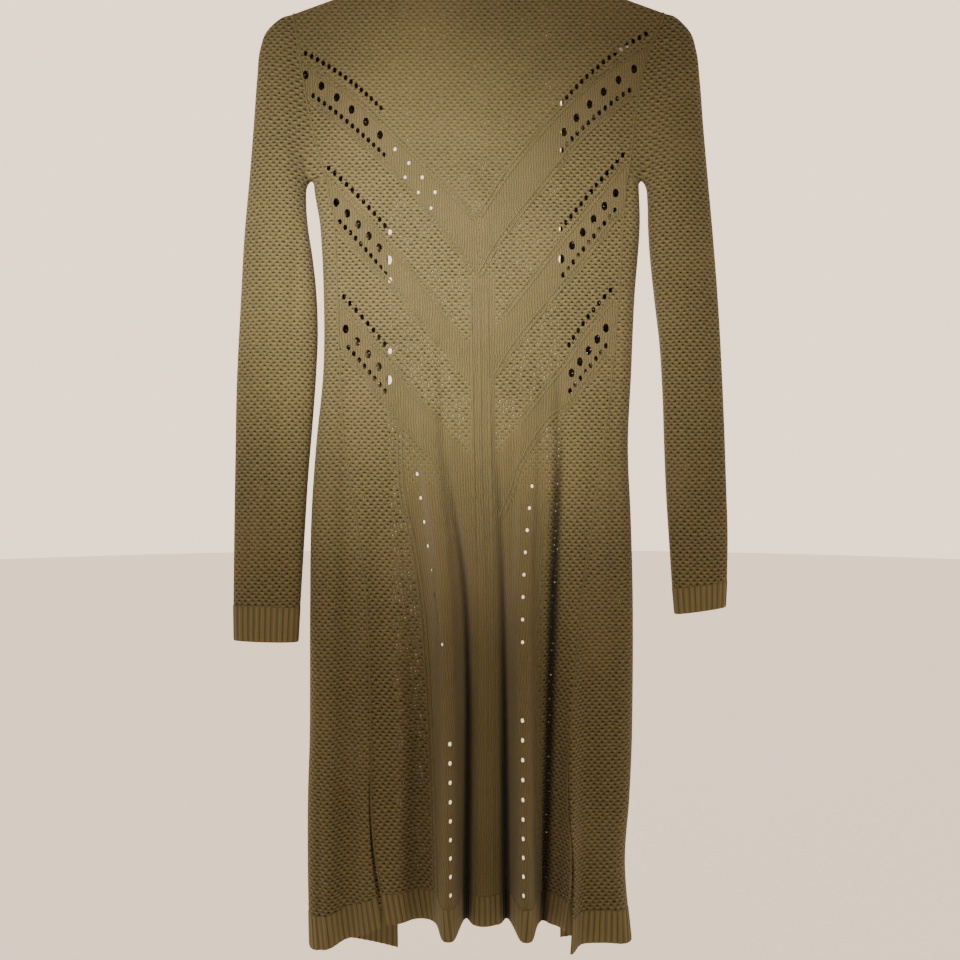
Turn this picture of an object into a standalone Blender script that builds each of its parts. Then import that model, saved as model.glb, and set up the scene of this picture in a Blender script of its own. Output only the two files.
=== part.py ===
# Long open-front knitted cardigan hanging by its shoulders on a one-piece tubular hanger.
# The garment's back faces -Y, its open fronts face +Y, and the origin is where the hook is held.
# Left and right are as seen from the back. The tables are in millimetres, the model in metres.

import math

import bmesh
import bpy
from mathutils import Vector

MM = 0.001

# Cloth and seams
WALL = 2.2
SEAM_GAP = 0.3
RIB_PITCH = 6.2
RIB_RAISE = 0.9
HEM_RIB = 33.0
HEM_LEVEL = -1160.0
VENT_TOP = -950.0
VENT_SPREAD = 4.0
UNDERARM = -352.0

# Hanger
TUBE_RADIUS = 4.0
APEX = -99.5
ARM_SLOPE = math.radians(20.0)
NECK_HALF = 93.0
TIP_X = 182.0
TIP_RADIUS = 18.5
HOOK_RADIUS = 24.0
HOOK_CENTRE = -20.0
WRAP_RADIUS = 7.0

# Neckline of the back
NECK_LOW = -151.0
NECK_RISE = 14.0
NECK_FLAT = 88.0


def table(columns, *rows):
    """Name the columns of a short table of sections."""
    return [dict(zip(columns.split(), row)) for row in rows]


def level(rows, column, height):
    """Read a column at a height as a smooth curve through the table's rows."""
    last = len(rows) - 1
    if height >= rows[0]["z"]:
        return rows[0][column]
    if height <= rows[last]["z"]:
        return rows[last][column]
    i = next(k for k in range(last) if rows[k + 1]["z"] <= height)
    span = rows[i + 1]["z"] - rows[i]["z"]

    def slope(k):
        low, high = rows[max(k - 1, 0)], rows[min(k + 1, last)]
        return (high[column] - low[column]) / (high["z"] - low["z"])

    t = (height - rows[i]["z"]) / span
    a, b = rows[i][column], rows[i + 1][column]
    return (a * (1 + 2 * t) * (1 - t) ** 2 + b * t * t * (3 - 2 * t)
            + span * (slope(i) * t * (1 - t) ** 2 - slope(i + 1) * t * t * (1 - t)))


def ease(value, start, end):
    """Rise smoothly from 0 at start to 1 at end."""
    t = min(1.0, max(0.0, (value - start) / (end - start)))
    return t * t * (3 - 2 * t)


# Mean depth of the back and of the fronts under the hanger
DEPTH = table(
    "z       back    front",
    (-150,   -7.0,   7.0),
    (-206,   -7.2,   7.2),
    (-260,   -8.0,   8.0),
    (-352,   -12.0,  9.5),
    (-480,   -16.0,  11.0),
    (-640,   -19.0,  12.0),
    (-815,   -22.0,  12.5),
    (-1000,  -24.0,  13.0),
    (-1200,  -26.0,  13.0))

# Armhole seams
ARMHOLE = table(
    "z       left     right",
    (-166,   -203.0,  200.0),
    (-186,   -200.0,  192.0),
    (-235,   -193.5,  176.0),
    (-277,   -186.0,  169.0),
    (-315,   -177.0,  165.0),
    (-352,   -166.0,  159.0))

# Side folds, side seams and the fronts' free edges, with the roundness of the fold
SIDES = table(
    "z       left_fold left_seam left_free right_fold right_seam right_free round",
    (-120,   -182,     -166,     -93,      174,       159,       93,        11),
    (-352,   -182,     -166,     -102,     174,       159,       89,        11),
    (-400,   -175,     -158,     -102,     175,       155,       89,        12),
    (-480,   -171,     -154,     -102,     169,       150,       89,        14),
    (-560,   -171.5,   -151,     -102,     165.5,     143,       89,        15),
    (-640,   -179,     -146,     -101,     162,       133,       89,        16),
    (-720,   -184,     -133,     -99,      165,       121,       89,        16),
    (-815,   -185,     -121,     -97,      167,       108,       89,        16),
    (-950,   -185,     -117,     -95,      166,       95.5,      89,        16),
    (-1020,  -187,     -118,     -94,      163,       94,        89,        16),
    (-1086,  -187,     -114,     -92,      158,       98,        89,        16),
    (-1160,  -185,     -103,     -91,      165,       92,        89,        16))

# Lengthwise folds of the hanging cloth: place and reach outwards at waist, hip and hem
FOLDS = table(
    "name            waist_x hip_x  hem_x  waist hip    hem    half  soft",
    ("left_ridge",   -160,   -162,  -162,  3.0,  6.0,   12.0,  9.0,  6.0),
    ("left_groove",  -146,   -144,  -143,  -2.0, -4.0,  -4.0,  3.0,  5.0),
    ("left_brim",    -130,   -124,  -122,  0.0,  4.0,   6.0,   6.0,  5.0),
    ("left_hollow",  -90,    -68,   -64,   -1.0, -6.0,  -15.0, 14.0, 8.0),
    ("left_roll",    -56,    -37,   -33,   3.0,  14.0,  40.0,  10.0, 3.8),
    ("left_valley",  -39,    -15.5, -15,   -4.0, -10.0, -22.0, 3.0,  3.5),
    ("centre",       0,      4.0,   4.0,   1.0,  3.0,   6.0,   9.0,  6.0),
    ("right_valley", 18,     25,    29,    -4.0, -9.0,  -22.0, 3.0,  3.5),
    ("right_roll",   52,     47,    48,    3.0,  12.0,  41.0,  10.0, 3.8),
    ("deep_valley",  86,     79,    68,    -9.0, -15.0, -15.0, 3.5,  4.5),
    ("right_brim",   112,    101,   95,    2.0,  9.0,   33.0,  6.0,  6.5),
    ("right_groove", 146,    144,   150,   -3.0, -4.0,  2.0,   5.0,  6.0))
FOLD_LEVELS = (("waist", -640.0), ("hip", -815.0), ("hem", -1160.0))
FOLD_START = -500.0

# Drop of the fronts' hem below the back's, along their width from seam to free edge
HEM_DROP = table(
    "z    left    right",
    (0,   4.0,    -13.0),
    (-1,  -16.0,  -13.0),
    (-2,  -20.0,  -18.0),
    (-3,  -36.0,  -25.0))
BACK_DROP = 7.0

# Sleeve sections from armhole to cuff: outer and inner side in the XZ plane, depth in Y
SLEEVES = {
    "left": table(
        "outer_x outer_z inner_x inner_z middle half",
        (-218,   -171.5, -186,   -350,   -1,    12.5),
        (-232,   -185,   -190,   -357,   -2,    15),
        (-239.5, -205,   -190.5, -374,   -3,    17),
        (-243,   -240,   -188.5, -400,   -4,    18.5),
        (-246,   -285,   -183.5, -432,   -5,    19),
        (-250.5, -345,   -179,   -470,   -6,    19),
        (-256,   -410,   -177,   -515,   -7,    19),
        (-260,   -485,   -178.5, -560,   -8,    18),
        (-264,   -570,   -182,   -612,   -9,    17),
        (-265.5, -660,   -187,   -675,   -10,   16),
        (-266.5, -740,   -191,   -744,   -11,   15),
        (-267,   -812,   -195,   -814,   -12,   14),
        (-266.5, -850,   -197,   -852,   -12,   13.5)),
    "right": table(
        "outer_x outer_z inner_x inner_z middle half",
        (216,    -171.5, 178.5,  -350,   -1,    12.5),
        (229,    -186,   182,    -357,   -2,    15),
        (236,    -208,   183.5,  -374,   -3,    17),
        (239.5,  -240,   184,    -400,   -4,    18.5),
        (243,    -290,   186,    -435,   -5,    19),
        (247.5,  -345,   190.5,  -480,   -6,    19),
        (253.5,  -415,   196,    -530,   -7,    18),
        (259,    -490,   199,    -585,   -8,    17),
        (264,    -590,   200.5,  -640,   -9,    16),
        (267,    -680,   203,    -703,   -10,   15),
        (268.5,  -740,   206,    -752,   -11,   14),
        (267.5,  -786,   208.5,  -794,   -12,   13),
        (266,    -814,   211,    -822,   -12,   12.5))}

# Rows of pierced eyelets on the back: first, middle and last place, number, width and height
EYELETS = table(
    "name          x0      z0      x1      z1      x2      z2      number width height",
    ("left_1_top", -190,   -212,   -141.6, -242.3, -107.8, -272,   15,    4.3,  6.4),
    ("left_1_big", -190,   -235.5, -140.4, -273.1, -108.7, -301.9, 6,     6.6,  10),
    ("left_1_low", -182,   -258,   -141.4, -289.7, -104.3, -323.9, 14,    4.3,  6.4),
    ("left_1_on",  -92.4,  -317.3, -62.9,  -348.2, -48.8,  -364.6, 4,    4.6,    6.6),
    ("left_1_in",  -81.4,  -348.2, -66.2,  -365.7, -53.1,  -382.1, 3,    4.3,    5.6),
    ("left_2_top", -164,   -338.5, -129,   -372.3, -97.5,  -408.4, 12,    4.3,  6.4),
    ("left_2_big", -156,   -376,   -122.4, -410.6, -98.5,  -438.9, 6,     6.6,  10),
    ("left_2_low", -152,   -397,   -132.1, -418.2, -97.3,  -460.7, 11,    4.3,  6.4),
    ("left_3_top", -147,   -479,   -113.4, -517.2, -97.2,  -537.7, 9,     4.3,  6.4),
    ("left_3_big", -145,   -514,   -117.7, -544.8, -98.2,  -569.1, 5,     6.6,  10),
    ("left_3_low", -142,   -534,   -128.5, -549.6, -102.5, -581,   8,     4.3,  6.4),
    ("right_1_top", 181,   -190.8, 130.8,  -224.7, 89.3,   -266.5, 16,    4.3,  6.4),
    ("right_1_big", 168,   -229,   120.9,  -266.5, 91.3,   -298.6, 6,     6.6,  10),
    ("right_1_low", 163,   -252,   118.6,  -287.5, 89.1,   -318.4, 13,    4.3,  6.4),
    ("right_2_top", 155,   -324,   124.8,  -359.2, 87.7,   -405.1, 13,    4.3,  6.4),
    ("right_2_big", 147,   -366,   111.6,  -408.4, 88.2,   -437.8, 6,     6.6,  10),
    ("right_2_low", 146,   -385,   119.1,  -418.2, 89.8,   -455.3, 11,    4.3,  6.4),
    ("right_3_top", 141,   -472,   110.2,  -509.6, 96.1,   -531.2, 9,     4.3,  6.4),
    ("right_3_big", 136,   -513,   117.7,  -536.6, 98.7,   -561.5, 5,     6.6,  10),
    ("right_3_low", 136,   -532,   108.5,  -567,   97,     -581,   8,     4.3,  6.4),
    ("left_fall",  -67.9,  -670.5, -54.8,  -759.8, -40.5,  -851,   8,    4.2,    5.4),
    ("left_drop",  -31.5,  -953.8, -30.5,  -1041,  -30,    -1112,  9,    4.6,    6.6),
    ("right_fall", 56,     -683.5, 48,     -759.8, 45,     -848.8, 8,    4.2,    5.4),
    ("right_drop", 44.5,   -930,   44.5,   -1016,  44.5,   -1112,  10,    4.6,    6.6))

# Heights of the body's rows under the shoulders, down to the ribbed hem
BODY_ROWS = (-205, -240, -277, -315, -352, -410, -470, -530, -590, -650, -710, -770, -830,
             -890, -950, -1010, -1070, HEM_LEVEL + HEM_RIB + SEAM_GAP)

# Columns of the back: place at the shoulders, and the fold that each follows lower down
BACK_COLUMNS = table(
    "top    fold            shift",
    (-93,   "left_roll",    -15),
    (-92,   "left_roll",    -11),
    (-91,   "left_roll",    -7),
    (-88,   "left_roll",    0),
    (-76,   "left_roll",    7),
    (-62,   "left_roll",    11),
    (-48,   "left_valley",  -2.5),
    (-34,   "left_valley",  3.5),
    (-20,   "centre",       -7),
    (20,    "centre",       8),
    (34,    "right_valley", -3.5),
    (48,    "right_valley", 2.5),
    (62,    "right_roll",   -11),
    (76,    "right_roll",   -7),
    (88,    "right_roll",   0),
    (91,    "right_roll",   7),
    (92,    "right_roll",   11),
    (93,    "deep_valley",  -4.5))
LEFT_STRIPS = 5
RIGHT_STRIPS = 4

# Materials: base colour and roughness
FINISHES = {
    "olive_knit": ((0.20, 0.165, 0.085), 0.92),
    "olive_rib": ((0.17, 0.14, 0.07), 0.92),
    "white_plastic": ((0.86, 0.86, 0.84), 0.38)}


def fold_at(fold, what, height):
    """Place or reach of one fold at a height."""
    names = {"x": ("waist_x", "hip_x", "hem_x"), "out": ("waist", "hip", "hem")}[what]
    rows = [{"z": place, "v": fold[name]} for (_, place), name in zip(FOLD_LEVELS, names)]
    value = level(rows, "v", height)
    if what == "out":
        value *= ease(height, FOLD_START, FOLD_LEVELS[0][1])
    return value


def back_depth(x, height):
    """Outer face of the cloth that shows: mean depth and the folds on it."""
    y = level(DEPTH, "back", height)
    for fold in FOLDS:
        away = x - fold_at(fold, "x", height)
        rise = math.tanh((away + fold["half"]) / fold["soft"])
        fall = math.tanh((away - fold["half"]) / fold["soft"])
        y -= fold_at(fold, "out", height) * (rise - fall) / 2
    return y


def front_depth(x, height):
    """Outer face of the fronts, with a slight wave."""
    wave = 1.6 * math.sin(x / 17.0 + height / 260.0) * ease(height, -300.0, -700.0)
    return level(DEPTH, "front", height) + wave


def hanger_height(x):
    """Centre of the hanger's arm above a place across the shoulders."""
    return APEX - abs(x) * math.tan(ARM_SLOPE)


def shoulder_rows(x, face):
    """Top of a column: round the hanger's arm, or down from the neck edge. face is -1 or +1."""
    side = math.copysign(1.0, x)
    tilt = Vector((side * math.sin(ARM_SLOPE), 0, math.cos(ARM_SLOPE)))
    start = 90.0 * ease(NECK_HALF - abs(x), 0.0, 2.0)
    rows = []
    if abs(x) > NECK_FLAT + 1:
        for angle in (start, start + 0.1 * (90 - start), start + 0.5 * (90 - start), 90.0):
            turn = math.radians(angle)
            normal = Vector((0, face * math.sin(turn), 0)) + tilt * math.cos(turn)
            y = face * max(SEAM_GAP / 2, WRAP_RADIUS * math.sin(turn))
            z = hanger_height(x) + WRAP_RADIUS * math.cos(turn) / math.cos(ARM_SLOPE)
            rows.append((Vector((x, y, z)), normal.normalized()))
        rows[1] = (rows[1][0], rows[0][1])
        if start > 89.0:
            for k, (point, normal) in enumerate(rows):
                rows[k] = (point - Vector((0, 0, 3.0 * k)), normal)
        return rows
    top = NECK_LOW + NECK_RISE * (abs(x) / NECK_FLAT) ** 4
    for drop in (0.0, 3.5, 8.0, 13.0):
        rows.append((Vector((x, face * WRAP_RADIUS, top - drop)), Vector((0, face, 0))))
    return rows


def armhole(side, height):
    return level(ARMHOLE, side, height)


def seam_line(side, height):
    """Edge of the back: armhole seam, then side seam."""
    if height >= UNDERARM:
        return armhole(side, height)
    return level(SIDES, side + "_seam", height)


def vent(height):
    """Half of the opening between back and front at the side seam."""
    return SEAM_GAP / 2 + VENT_SPREAD / 2 * ease(height, VENT_TOP, HEM_LEVEL)


def lowered(height, drop):
    """Lower the rows near the hem so that its edge hangs as far as it does."""
    return height + drop * ease(height, VENT_TOP - 60.0, HEM_LEVEL)


def back_face(x, height):
    """Point and outward normal of the back."""
    step = 0.5
    across = (back_depth(x + step, height) - back_depth(x - step, height)) / (2 * step)
    down = (back_depth(x, height + 1) - back_depth(x, height - 1)) / 2
    normal = Vector((across, -1, down)).normalized()
    return Vector((x, back_depth(x, height), lowered(height, BACK_DROP))), normal


def back_places(height):
    """Where the back's columns stand at a height."""
    blend = ease(height, -206.0, FOLD_START)
    inner = []
    folds = {fold["name"]: fold for fold in FOLDS}
    for column in BACK_COLUMNS:
        low = fold_at(folds[column["fold"]], "x", min(height, -640.0)) + column["shift"]
        inner.append(column["top"] + (low - column["top"]) * blend)
    left = seam_line("left", height) + vent(height)
    right = seam_line("right", height) - vent(height)
    edge = [left + (inner[0] - left) * k / LEFT_STRIPS for k in range(LEFT_STRIPS)]
    tail = [inner[-1] + (right - inner[-1]) * (k + 1) / RIGHT_STRIPS for k in range(RIGHT_STRIPS)]
    return edge + inner + tail


def front_path(side, run, height):
    """Place along a front: 0 to 1 seam to side fold, 1 to 2 the fold, 2 to 3 to the free edge."""
    sign = -1.0 if side == "left" else 1.0
    bend = level(SIDES, "round", height)
    inner = level(SIDES, side + "_fold", height) - sign * bend
    if run <= 1:
        seam = level(SIDES, side + "_seam", height) + sign * vent(height)
        x = seam + (inner - seam) * run
        return Vector((x, back_depth(x, height), height))
    if run < 2:
        near, far = back_depth(inner, height), front_depth(inner, height)
        turn = math.pi * (run - 1.5)
        return Vector((inner + sign * bend * math.cos(turn),
                       (near + far) / 2 + (far - near) / 2 * math.sin(turn), height))
    free = level(SIDES, side + "_free", height)
    x = inner + (free - inner) * (run - 2)
    return Vector((x, front_depth(x, height), height))


def front_face(side, run, height):
    """Point and outward normal of a front."""
    sign = -1.0 if side == "left" else 1.0
    step = 0.02
    low, high = max(0.0, run - step), min(3.0, run + step)
    along = front_path(side, high, height) - front_path(side, low, height)
    up = front_path(side, run, height + 1) - front_path(side, run, height - 1)
    normal = along.cross(up).normalized() * sign
    point = front_path(side, run, height)
    point.z = lowered(height, level(HEM_DROP, side, -run))
    return point, normal


def finish(name):
    """One principled material for one piece."""
    base, rough = FINISHES[name.split("__")[1]]
    material = bpy.data.materials.new(name)
    material.use_nodes = True
    shader = material.node_tree.nodes["Principled BSDF"]
    shader.inputs["Base Color"].default_value = (*base, 1.0)
    shader.inputs["Roughness"].default_value = rough
    shader.inputs["Metallic"].default_value = 0.0
    return material


def new_object(name, mesh, collection, surface):
    mesh.materials.append(finish(name + "__" + surface))
    mesh.shade_smooth()
    mesh.set_sharp_from_angle(angle=math.radians(50))
    piece = bpy.data.objects.new(name, mesh)
    collection.objects.link(piece)
    return piece


def cloth_wall(name, outer, inner, ring, collection, surface):
    """Close the wall between an outer and an inner grid of rows. A ring has no free columns."""
    form = bmesh.new()
    skins = []
    for grid in (outer, inner):
        skins.append([[form.verts.new(point * MM) for point in row] for row in grid])
    rows, columns = len(outer), len(outer[0])
    spans = columns if ring else columns - 1
    for skin, flip in ((skins[0], False), (skins[1], True)):
        for i in range(rows - 1):
            for j in range(spans):
                k = (j + 1) % columns
                if skin[i][j] is skin[i + 1][j]:
                    continue
                quad = [skin[i][j], skin[i + 1][j], skin[i + 1][k], skin[i][k]]
                form.faces.new(quad[::-1] if flip else quad)
    for i, flip in ((0, False), (rows - 1, True)):
        for j in range(spans):
            k = (j + 1) % columns
            quad = [skins[0][i][j], skins[0][i][k], skins[1][i][k], skins[1][i][j]]
            form.faces.new(quad[::-1] if flip else quad)
    if not ring:
        for j, flip in ((0, True), (columns - 1, False)):
            for i in range(rows - 1):
                quad = [skins[0][i][j], skins[0][i + 1][j], skins[1][i + 1][j], skins[1][i][j]]
                form.faces.new(quad if flip else quad[::-1])
    bmesh.ops.recalc_face_normals(form, faces=form.faces)
    mesh = bpy.data.meshes.new(name)
    form.to_mesh(mesh)
    form.free()
    return new_object(name, mesh, collection, surface)


def wall_from_faces(name, grid, collection, surface):
    """Wall of the cloth's own thickness inside a grid of points and normals."""
    outer = [[point for point, _ in row] for row in grid]
    inner = [[point - normal * WALL for point, normal in row] for row in grid]
    return cloth_wall(name, outer, inner, False, collection, surface)


def resample(pairs, count):
    """Even steps along a row of points and normals."""
    lengths = [0.0]
    for (a, _), (b, _) in zip(pairs, pairs[1:]):
        lengths.append(lengths[-1] + (b - a).length)
    result, i = [], 0
    for k in range(count + 1):
        goal = lengths[-1] * k / count
        while i < len(pairs) - 2 and lengths[i + 1] < goal:
            i += 1
        t = (goal - lengths[i]) / (lengths[i + 1] - lengths[i])
        point = pairs[i][0].lerp(pairs[i + 1][0], t)
        result.append((point, pairs[i][1].lerp(pairs[i + 1][1], t).normalized()))
    return result, lengths[-1]


def ribbed_strip(name, rows, closed, collection):
    """Ribs raised on the outside of a strip, over a plain inside."""
    length = resample(rows[0], 1)[1]
    ribs = round(length / RIB_PITCH)
    count = 2 * ribs
    outer, inner = [], []
    for row in rows:
        pairs, _ = resample(row, count)
        if closed:
            pairs = pairs[:-1]
        outer.append([p + n * (RIB_RAISE / 2 if k % 2 else -RIB_RAISE / 2)
                      for k, (p, n) in enumerate(pairs)])
        inner.append([p - n * WALL for p, n in pairs])
    return cloth_wall(name, outer, inner, closed, collection, "olive_rib")


def back_panel(collection):
    """Back from the shoulders and neck edge to the ribbed hem, between the seams."""
    grid = [[], [], [], []]
    for x in back_places(-120.0):
        for row, pair in zip(grid, shoulder_rows(x, -1)):
            row.append(pair)
    for height in BODY_ROWS:
        grid.append([back_face(x, height) for x in back_places(height)])
    return wall_from_faces("back_panel", grid, collection, "olive_knit")


def front_panel(side, collection):
    """Front with its round side fold. Over the underarm only the part at the front is there."""
    turned = [k / 6 for k in range(6)] + [1.0, 1.25, 1.5, 1.75]
    flat = [2.0, 2.25, 2.5, 2.75, 3.0]
    sign = -1.0 if side == "left" else 1.0
    upper = [[], [], [], []]
    hold, free = armhole(side, 0.0), sign * NECK_HALF
    for run in flat:
        x = hold + (free - hold) * (run - 2)
        for row, pair in zip(upper, shoulder_rows(x, 1)):
            row.append(pair)
    for height in BODY_ROWS:
        if height <= UNDERARM:
            break
        hold, free = armhole(side, height), level(SIDES, side + "_free", height)
        row = []
        for run in flat:
            x = hold + (free - hold) * (run - 2)
            row.append((Vector((x, front_depth(x, height), height)), Vector((0, 1, 0))))
        upper.append(row)
    lower = [[front_face(side, run, height) for run in turned + flat]
             for height in BODY_ROWS if height <= UNDERARM]
    form = bmesh.new()
    skins = []
    for depth in (0.0, WALL):
        top = [[form.verts.new((p - n * depth) * MM) for p, n in row] for row in upper]
        low = [[form.verts.new((p - n * depth) * MM) for p, n in row] for row in lower]
        top.append(low[0][len(turned):])
        skins.append((top, low))
    for (top, low), flip in ((skins[0], False), (skins[1], True)):
        for grid in (top, low):
            for row, below in zip(grid, grid[1:]):
                for j in range(len(row) - 1):
                    quad = [row[j], below[j], below[j + 1], row[j + 1]]
                    form.faces.new(quad[::-1] if flip else quad)
    rims = []
    (top, low), (top_in, low_in) = skins
    rims.append((top[0], top_in[0]))
    rims.append((low[-1], low_in[-1]))
    rims.append((low[0][:len(turned) + 1], low_in[0][:len(turned) + 1]))
    rims.append(([row[0] for row in top], [row[0] for row in top_in]))
    rims.append(([row[0] for row in low], [row[0] for row in low_in]))
    rims.append(([row[-1] for row in top], [row[-1] for row in top_in]))
    rims.append(([row[-1] for row in low], [row[-1] for row in low_in]))
    for edge, edge_in in rims:
        for j in range(len(edge) - 1):
            form.faces.new([edge[j], edge[j + 1], edge_in[j + 1], edge_in[j]])
    bmesh.ops.recalc_face_normals(form, faces=form.faces)
    mesh = bpy.data.meshes.new("front_" + side)
    form.to_mesh(mesh)
    form.free()
    return new_object("front_" + side, mesh, collection, "olive_knit")


def hems(collection):
    """Ribbed hems of the back and of both fronts."""
    heights = (HEM_LEVEL + HEM_RIB, HEM_LEVEL)
    steps = 240
    rows = []
    for height in heights:
        left = seam_line("left", height) + vent(height)
        right = seam_line("right", height) - vent(height)
        rows.append([back_face(left + (right - left) * k / steps, height)
                     for k in range(steps + 1)])
    ribbed_strip("hem_back", rows, False, collection)
    for side in ("left", "right"):
        rows = [[front_face(side, 3.0 * k / steps, height) for k in range(steps + 1)]
                for height in heights]
        ribbed_strip("hem_front_" + side, rows, False, collection)


def sleeve_ring(side, row, angles):
    """One oval section of a sleeve."""
    outer = Vector((row["outer_x"], 0, row["outer_z"]))
    inner = Vector((row["inner_x"], 0, row["inner_z"]))
    centre = (outer + inner) / 2 + Vector((0, row["middle"], 0))
    half = (outer - inner) / 2
    points = []
    for angle in angles:
        swing = math.sin(angle)
        y = -math.copysign(abs(swing) ** 0.7, swing) * row["half"]
        points.append(centre + half * math.cos(angle) + Vector((0, y, 0)))
    return points


def ring_normals(rings, i, sign):
    """Outward normals of a ring from its neighbours."""
    count = len(rings[i])
    above, below = rings[max(i - 1, 0)], rings[min(i + 1, len(rings) - 1)]
    normals = []
    for j in range(count):
        around = rings[i][(j + 1) % count] - rings[i][j - 1]
        along = below[j] - above[j]
        normals.append(around.cross(along).normalized() * sign)
    return normals


def armhole_ring(side):
    """Armhole edge and its normals, from the shoulder down the back and up the front."""
    sign = -1.0 if side == "left" else 1.0
    out = Vector((sign * SEAM_GAP, 0, 0))
    up = Vector((0, 0, SEAM_GAP))
    hold = armhole(side, 0.0)
    back, front = shoulder_rows(hold, -1), shoulder_rows(hold, 1)
    heights = [height for height in BODY_ROWS if height > UNDERARM]
    ring = [((back[0][0] + front[0][0]) / 2, back[0][1])]
    ring += [back[2], back[3]]
    ring += [back_face(armhole(side, h), h) for h in heights]
    ring = [(point + out, normal) for point, normal in ring]
    point, normal = back_face(armhole(side, UNDERARM), UNDERARM)
    ring.append((point + out + up, normal))
    for run in (1.25, 1.5, 1.75, 2.0):
        point, normal = front_face(side, run, UNDERARM)
        ring.append((point + up + (out if run == 2.0 else Vector()), normal))
    for h in reversed(heights):
        x = armhole(side, h)
        ring.append((Vector((x, front_depth(x, h), h)) + out, Vector((0, 1, 0))))
    ring += [(point + out, normal) for point, normal in (front[3], front[2])]
    return ring


def sleeve(side, collection):
    """Sleeve from the armhole, and the ribbed cuff under it."""
    sign = -1.0 if side == "left" else 1.0
    sections = SLEEVES[side]
    edge = armhole_ring(side)
    first = [point for point, _ in edge]
    count = len(first)
    lengths = [0.0]
    for j in range(count):
        lengths.append(lengths[-1] + (first[(j + 1) % count] - first[j]).length)
    low = lengths[min(range(count), key=lambda j: first[j].z + abs(first[j].y) * 0.1)]
    natural = []
    for j in range(count):
        if lengths[j] <= low:
            natural.append(math.pi * lengths[j] / low)
        else:
            natural.append(math.pi * (1 + (lengths[j] - low) / (lengths[-1] - low)))
    even = [2 * math.pi * j / count for j in range(count)]
    rings = [first]
    for k, row in enumerate(sections[:-1]):
        share = min(1.0, (k + 1) / 5)
        angles = [a + (b - a) * share for a, b in zip(natural, even)]
        rings.append(sleeve_ring(side, row, angles))
    inner = [[point - normal * WALL for point, normal in edge]]
    for i in range(1, len(rings)):
        normals = ring_normals(rings, i, sign)
        inner.append([p - n * WALL for p, n in zip(rings[i], normals)])
    cloth_wall("sleeve_" + side, rings, inner, True, collection, "olive_knit")
    fine = [2 * math.pi * j / 120 for j in range(120)]
    cuff = [sleeve_ring(side, row, fine) for row in sections[-2:]]
    axis = (cuff[1][0] + cuff[1][60] - cuff[0][0] - cuff[0][60]).normalized()
    cuff[0] = [point + axis * SEAM_GAP for point in cuff[0]]
    rows = []
    for i, ring in enumerate(cuff):
        normals = ring_normals(cuff, i, sign)
        pairs = list(zip(ring, normals))
        rows.append(pairs + pairs[:1])
    ribbed_strip("cuff_" + side, rows, True, collection)


def eyelet_places(row):
    """Even steps along a gently curved row through its first, middle and last place."""
    start, mid, end = ((row["x" + k], row["z" + k]) for k in "012")
    share = math.dist(start, mid) / (math.dist(start, mid) + math.dist(mid, end))
    for k in range(row["number"]):
        t = k / (row["number"] - 1)
        weights = ((t - share) * (t - 1) / share,
                   t * (t - 1) / (share * (share - 1)),
                   t * (t - share) / (1 - share))
        yield [sum(w * p[axis] for w, p in zip(weights, (start, mid, end))) for axis in (0, 1)]


def eyelet_cutter(collection):
    """Prisms for the pierced eyelets, square to the cloth at each place."""
    form = bmesh.new()
    for row in EYELETS:
        for x, z in eyelet_places(row):
            point, normal = back_face(x, z)
            sides = 6 if row["width"] > 5 else 4
            prism = bmesh.ops.create_cone(form, cap_ends=True, segments=sides, radius1=1,
                                          radius2=1, depth=1)["verts"]
            across = Vector((0, 0, 1)).cross(normal).normalized()
            upward = normal.cross(across)
            for vert in prism:
                u, v, w = vert.co
                vert.co = (point - normal * WALL / 2 + across * u * row["width"] / 2
                           + upward * v * row["height"] / 2 + normal * w * WALL * 3.5) * MM
    bmesh.ops.recalc_face_normals(form, faces=form.faces)
    mesh = bpy.data.meshes.new("eyelet_cutter")
    form.to_mesh(mesh)
    form.free()
    cutter = bpy.data.objects.new("eyelet_cutter", mesh)
    cutter.hide_render = True
    cutter.display_type = "WIRE"
    collection.objects.link(cutter)
    return cutter


def tube(name, points, closed, collection):
    """Round tube along points, as a closed mesh."""
    curve = bpy.data.curves.new(name, "CURVE")
    curve.dimensions = "3D"
    curve.bevel_depth = TUBE_RADIUS * MM
    curve.bevel_resolution = 2
    curve.use_fill_caps = not closed
    spline = curve.splines.new("POLY")
    spline.points.add(len(points) - 1)
    for knot, (x, z) in zip(spline.points, points):
        knot.co = (x * MM, 0.0, z * MM, 1.0)
    spline.use_cyclic_u = closed
    guide = bpy.data.objects.new(name + "_guide", curve)
    collection.objects.link(guide)
    view = bpy.context.evaluated_depsgraph_get()
    mesh = bpy.data.meshes.new_from_object(guide.evaluated_get(view))
    form = bmesh.new()
    form.from_mesh(mesh)
    bmesh.ops.remove_doubles(form, verts=form.verts, dist=1e-6)
    bmesh.ops.recalc_face_normals(form, faces=form.faces)
    form.to_mesh(mesh)
    form.free()
    bpy.data.objects.remove(guide)
    mesh.name = name
    return mesh


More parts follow.
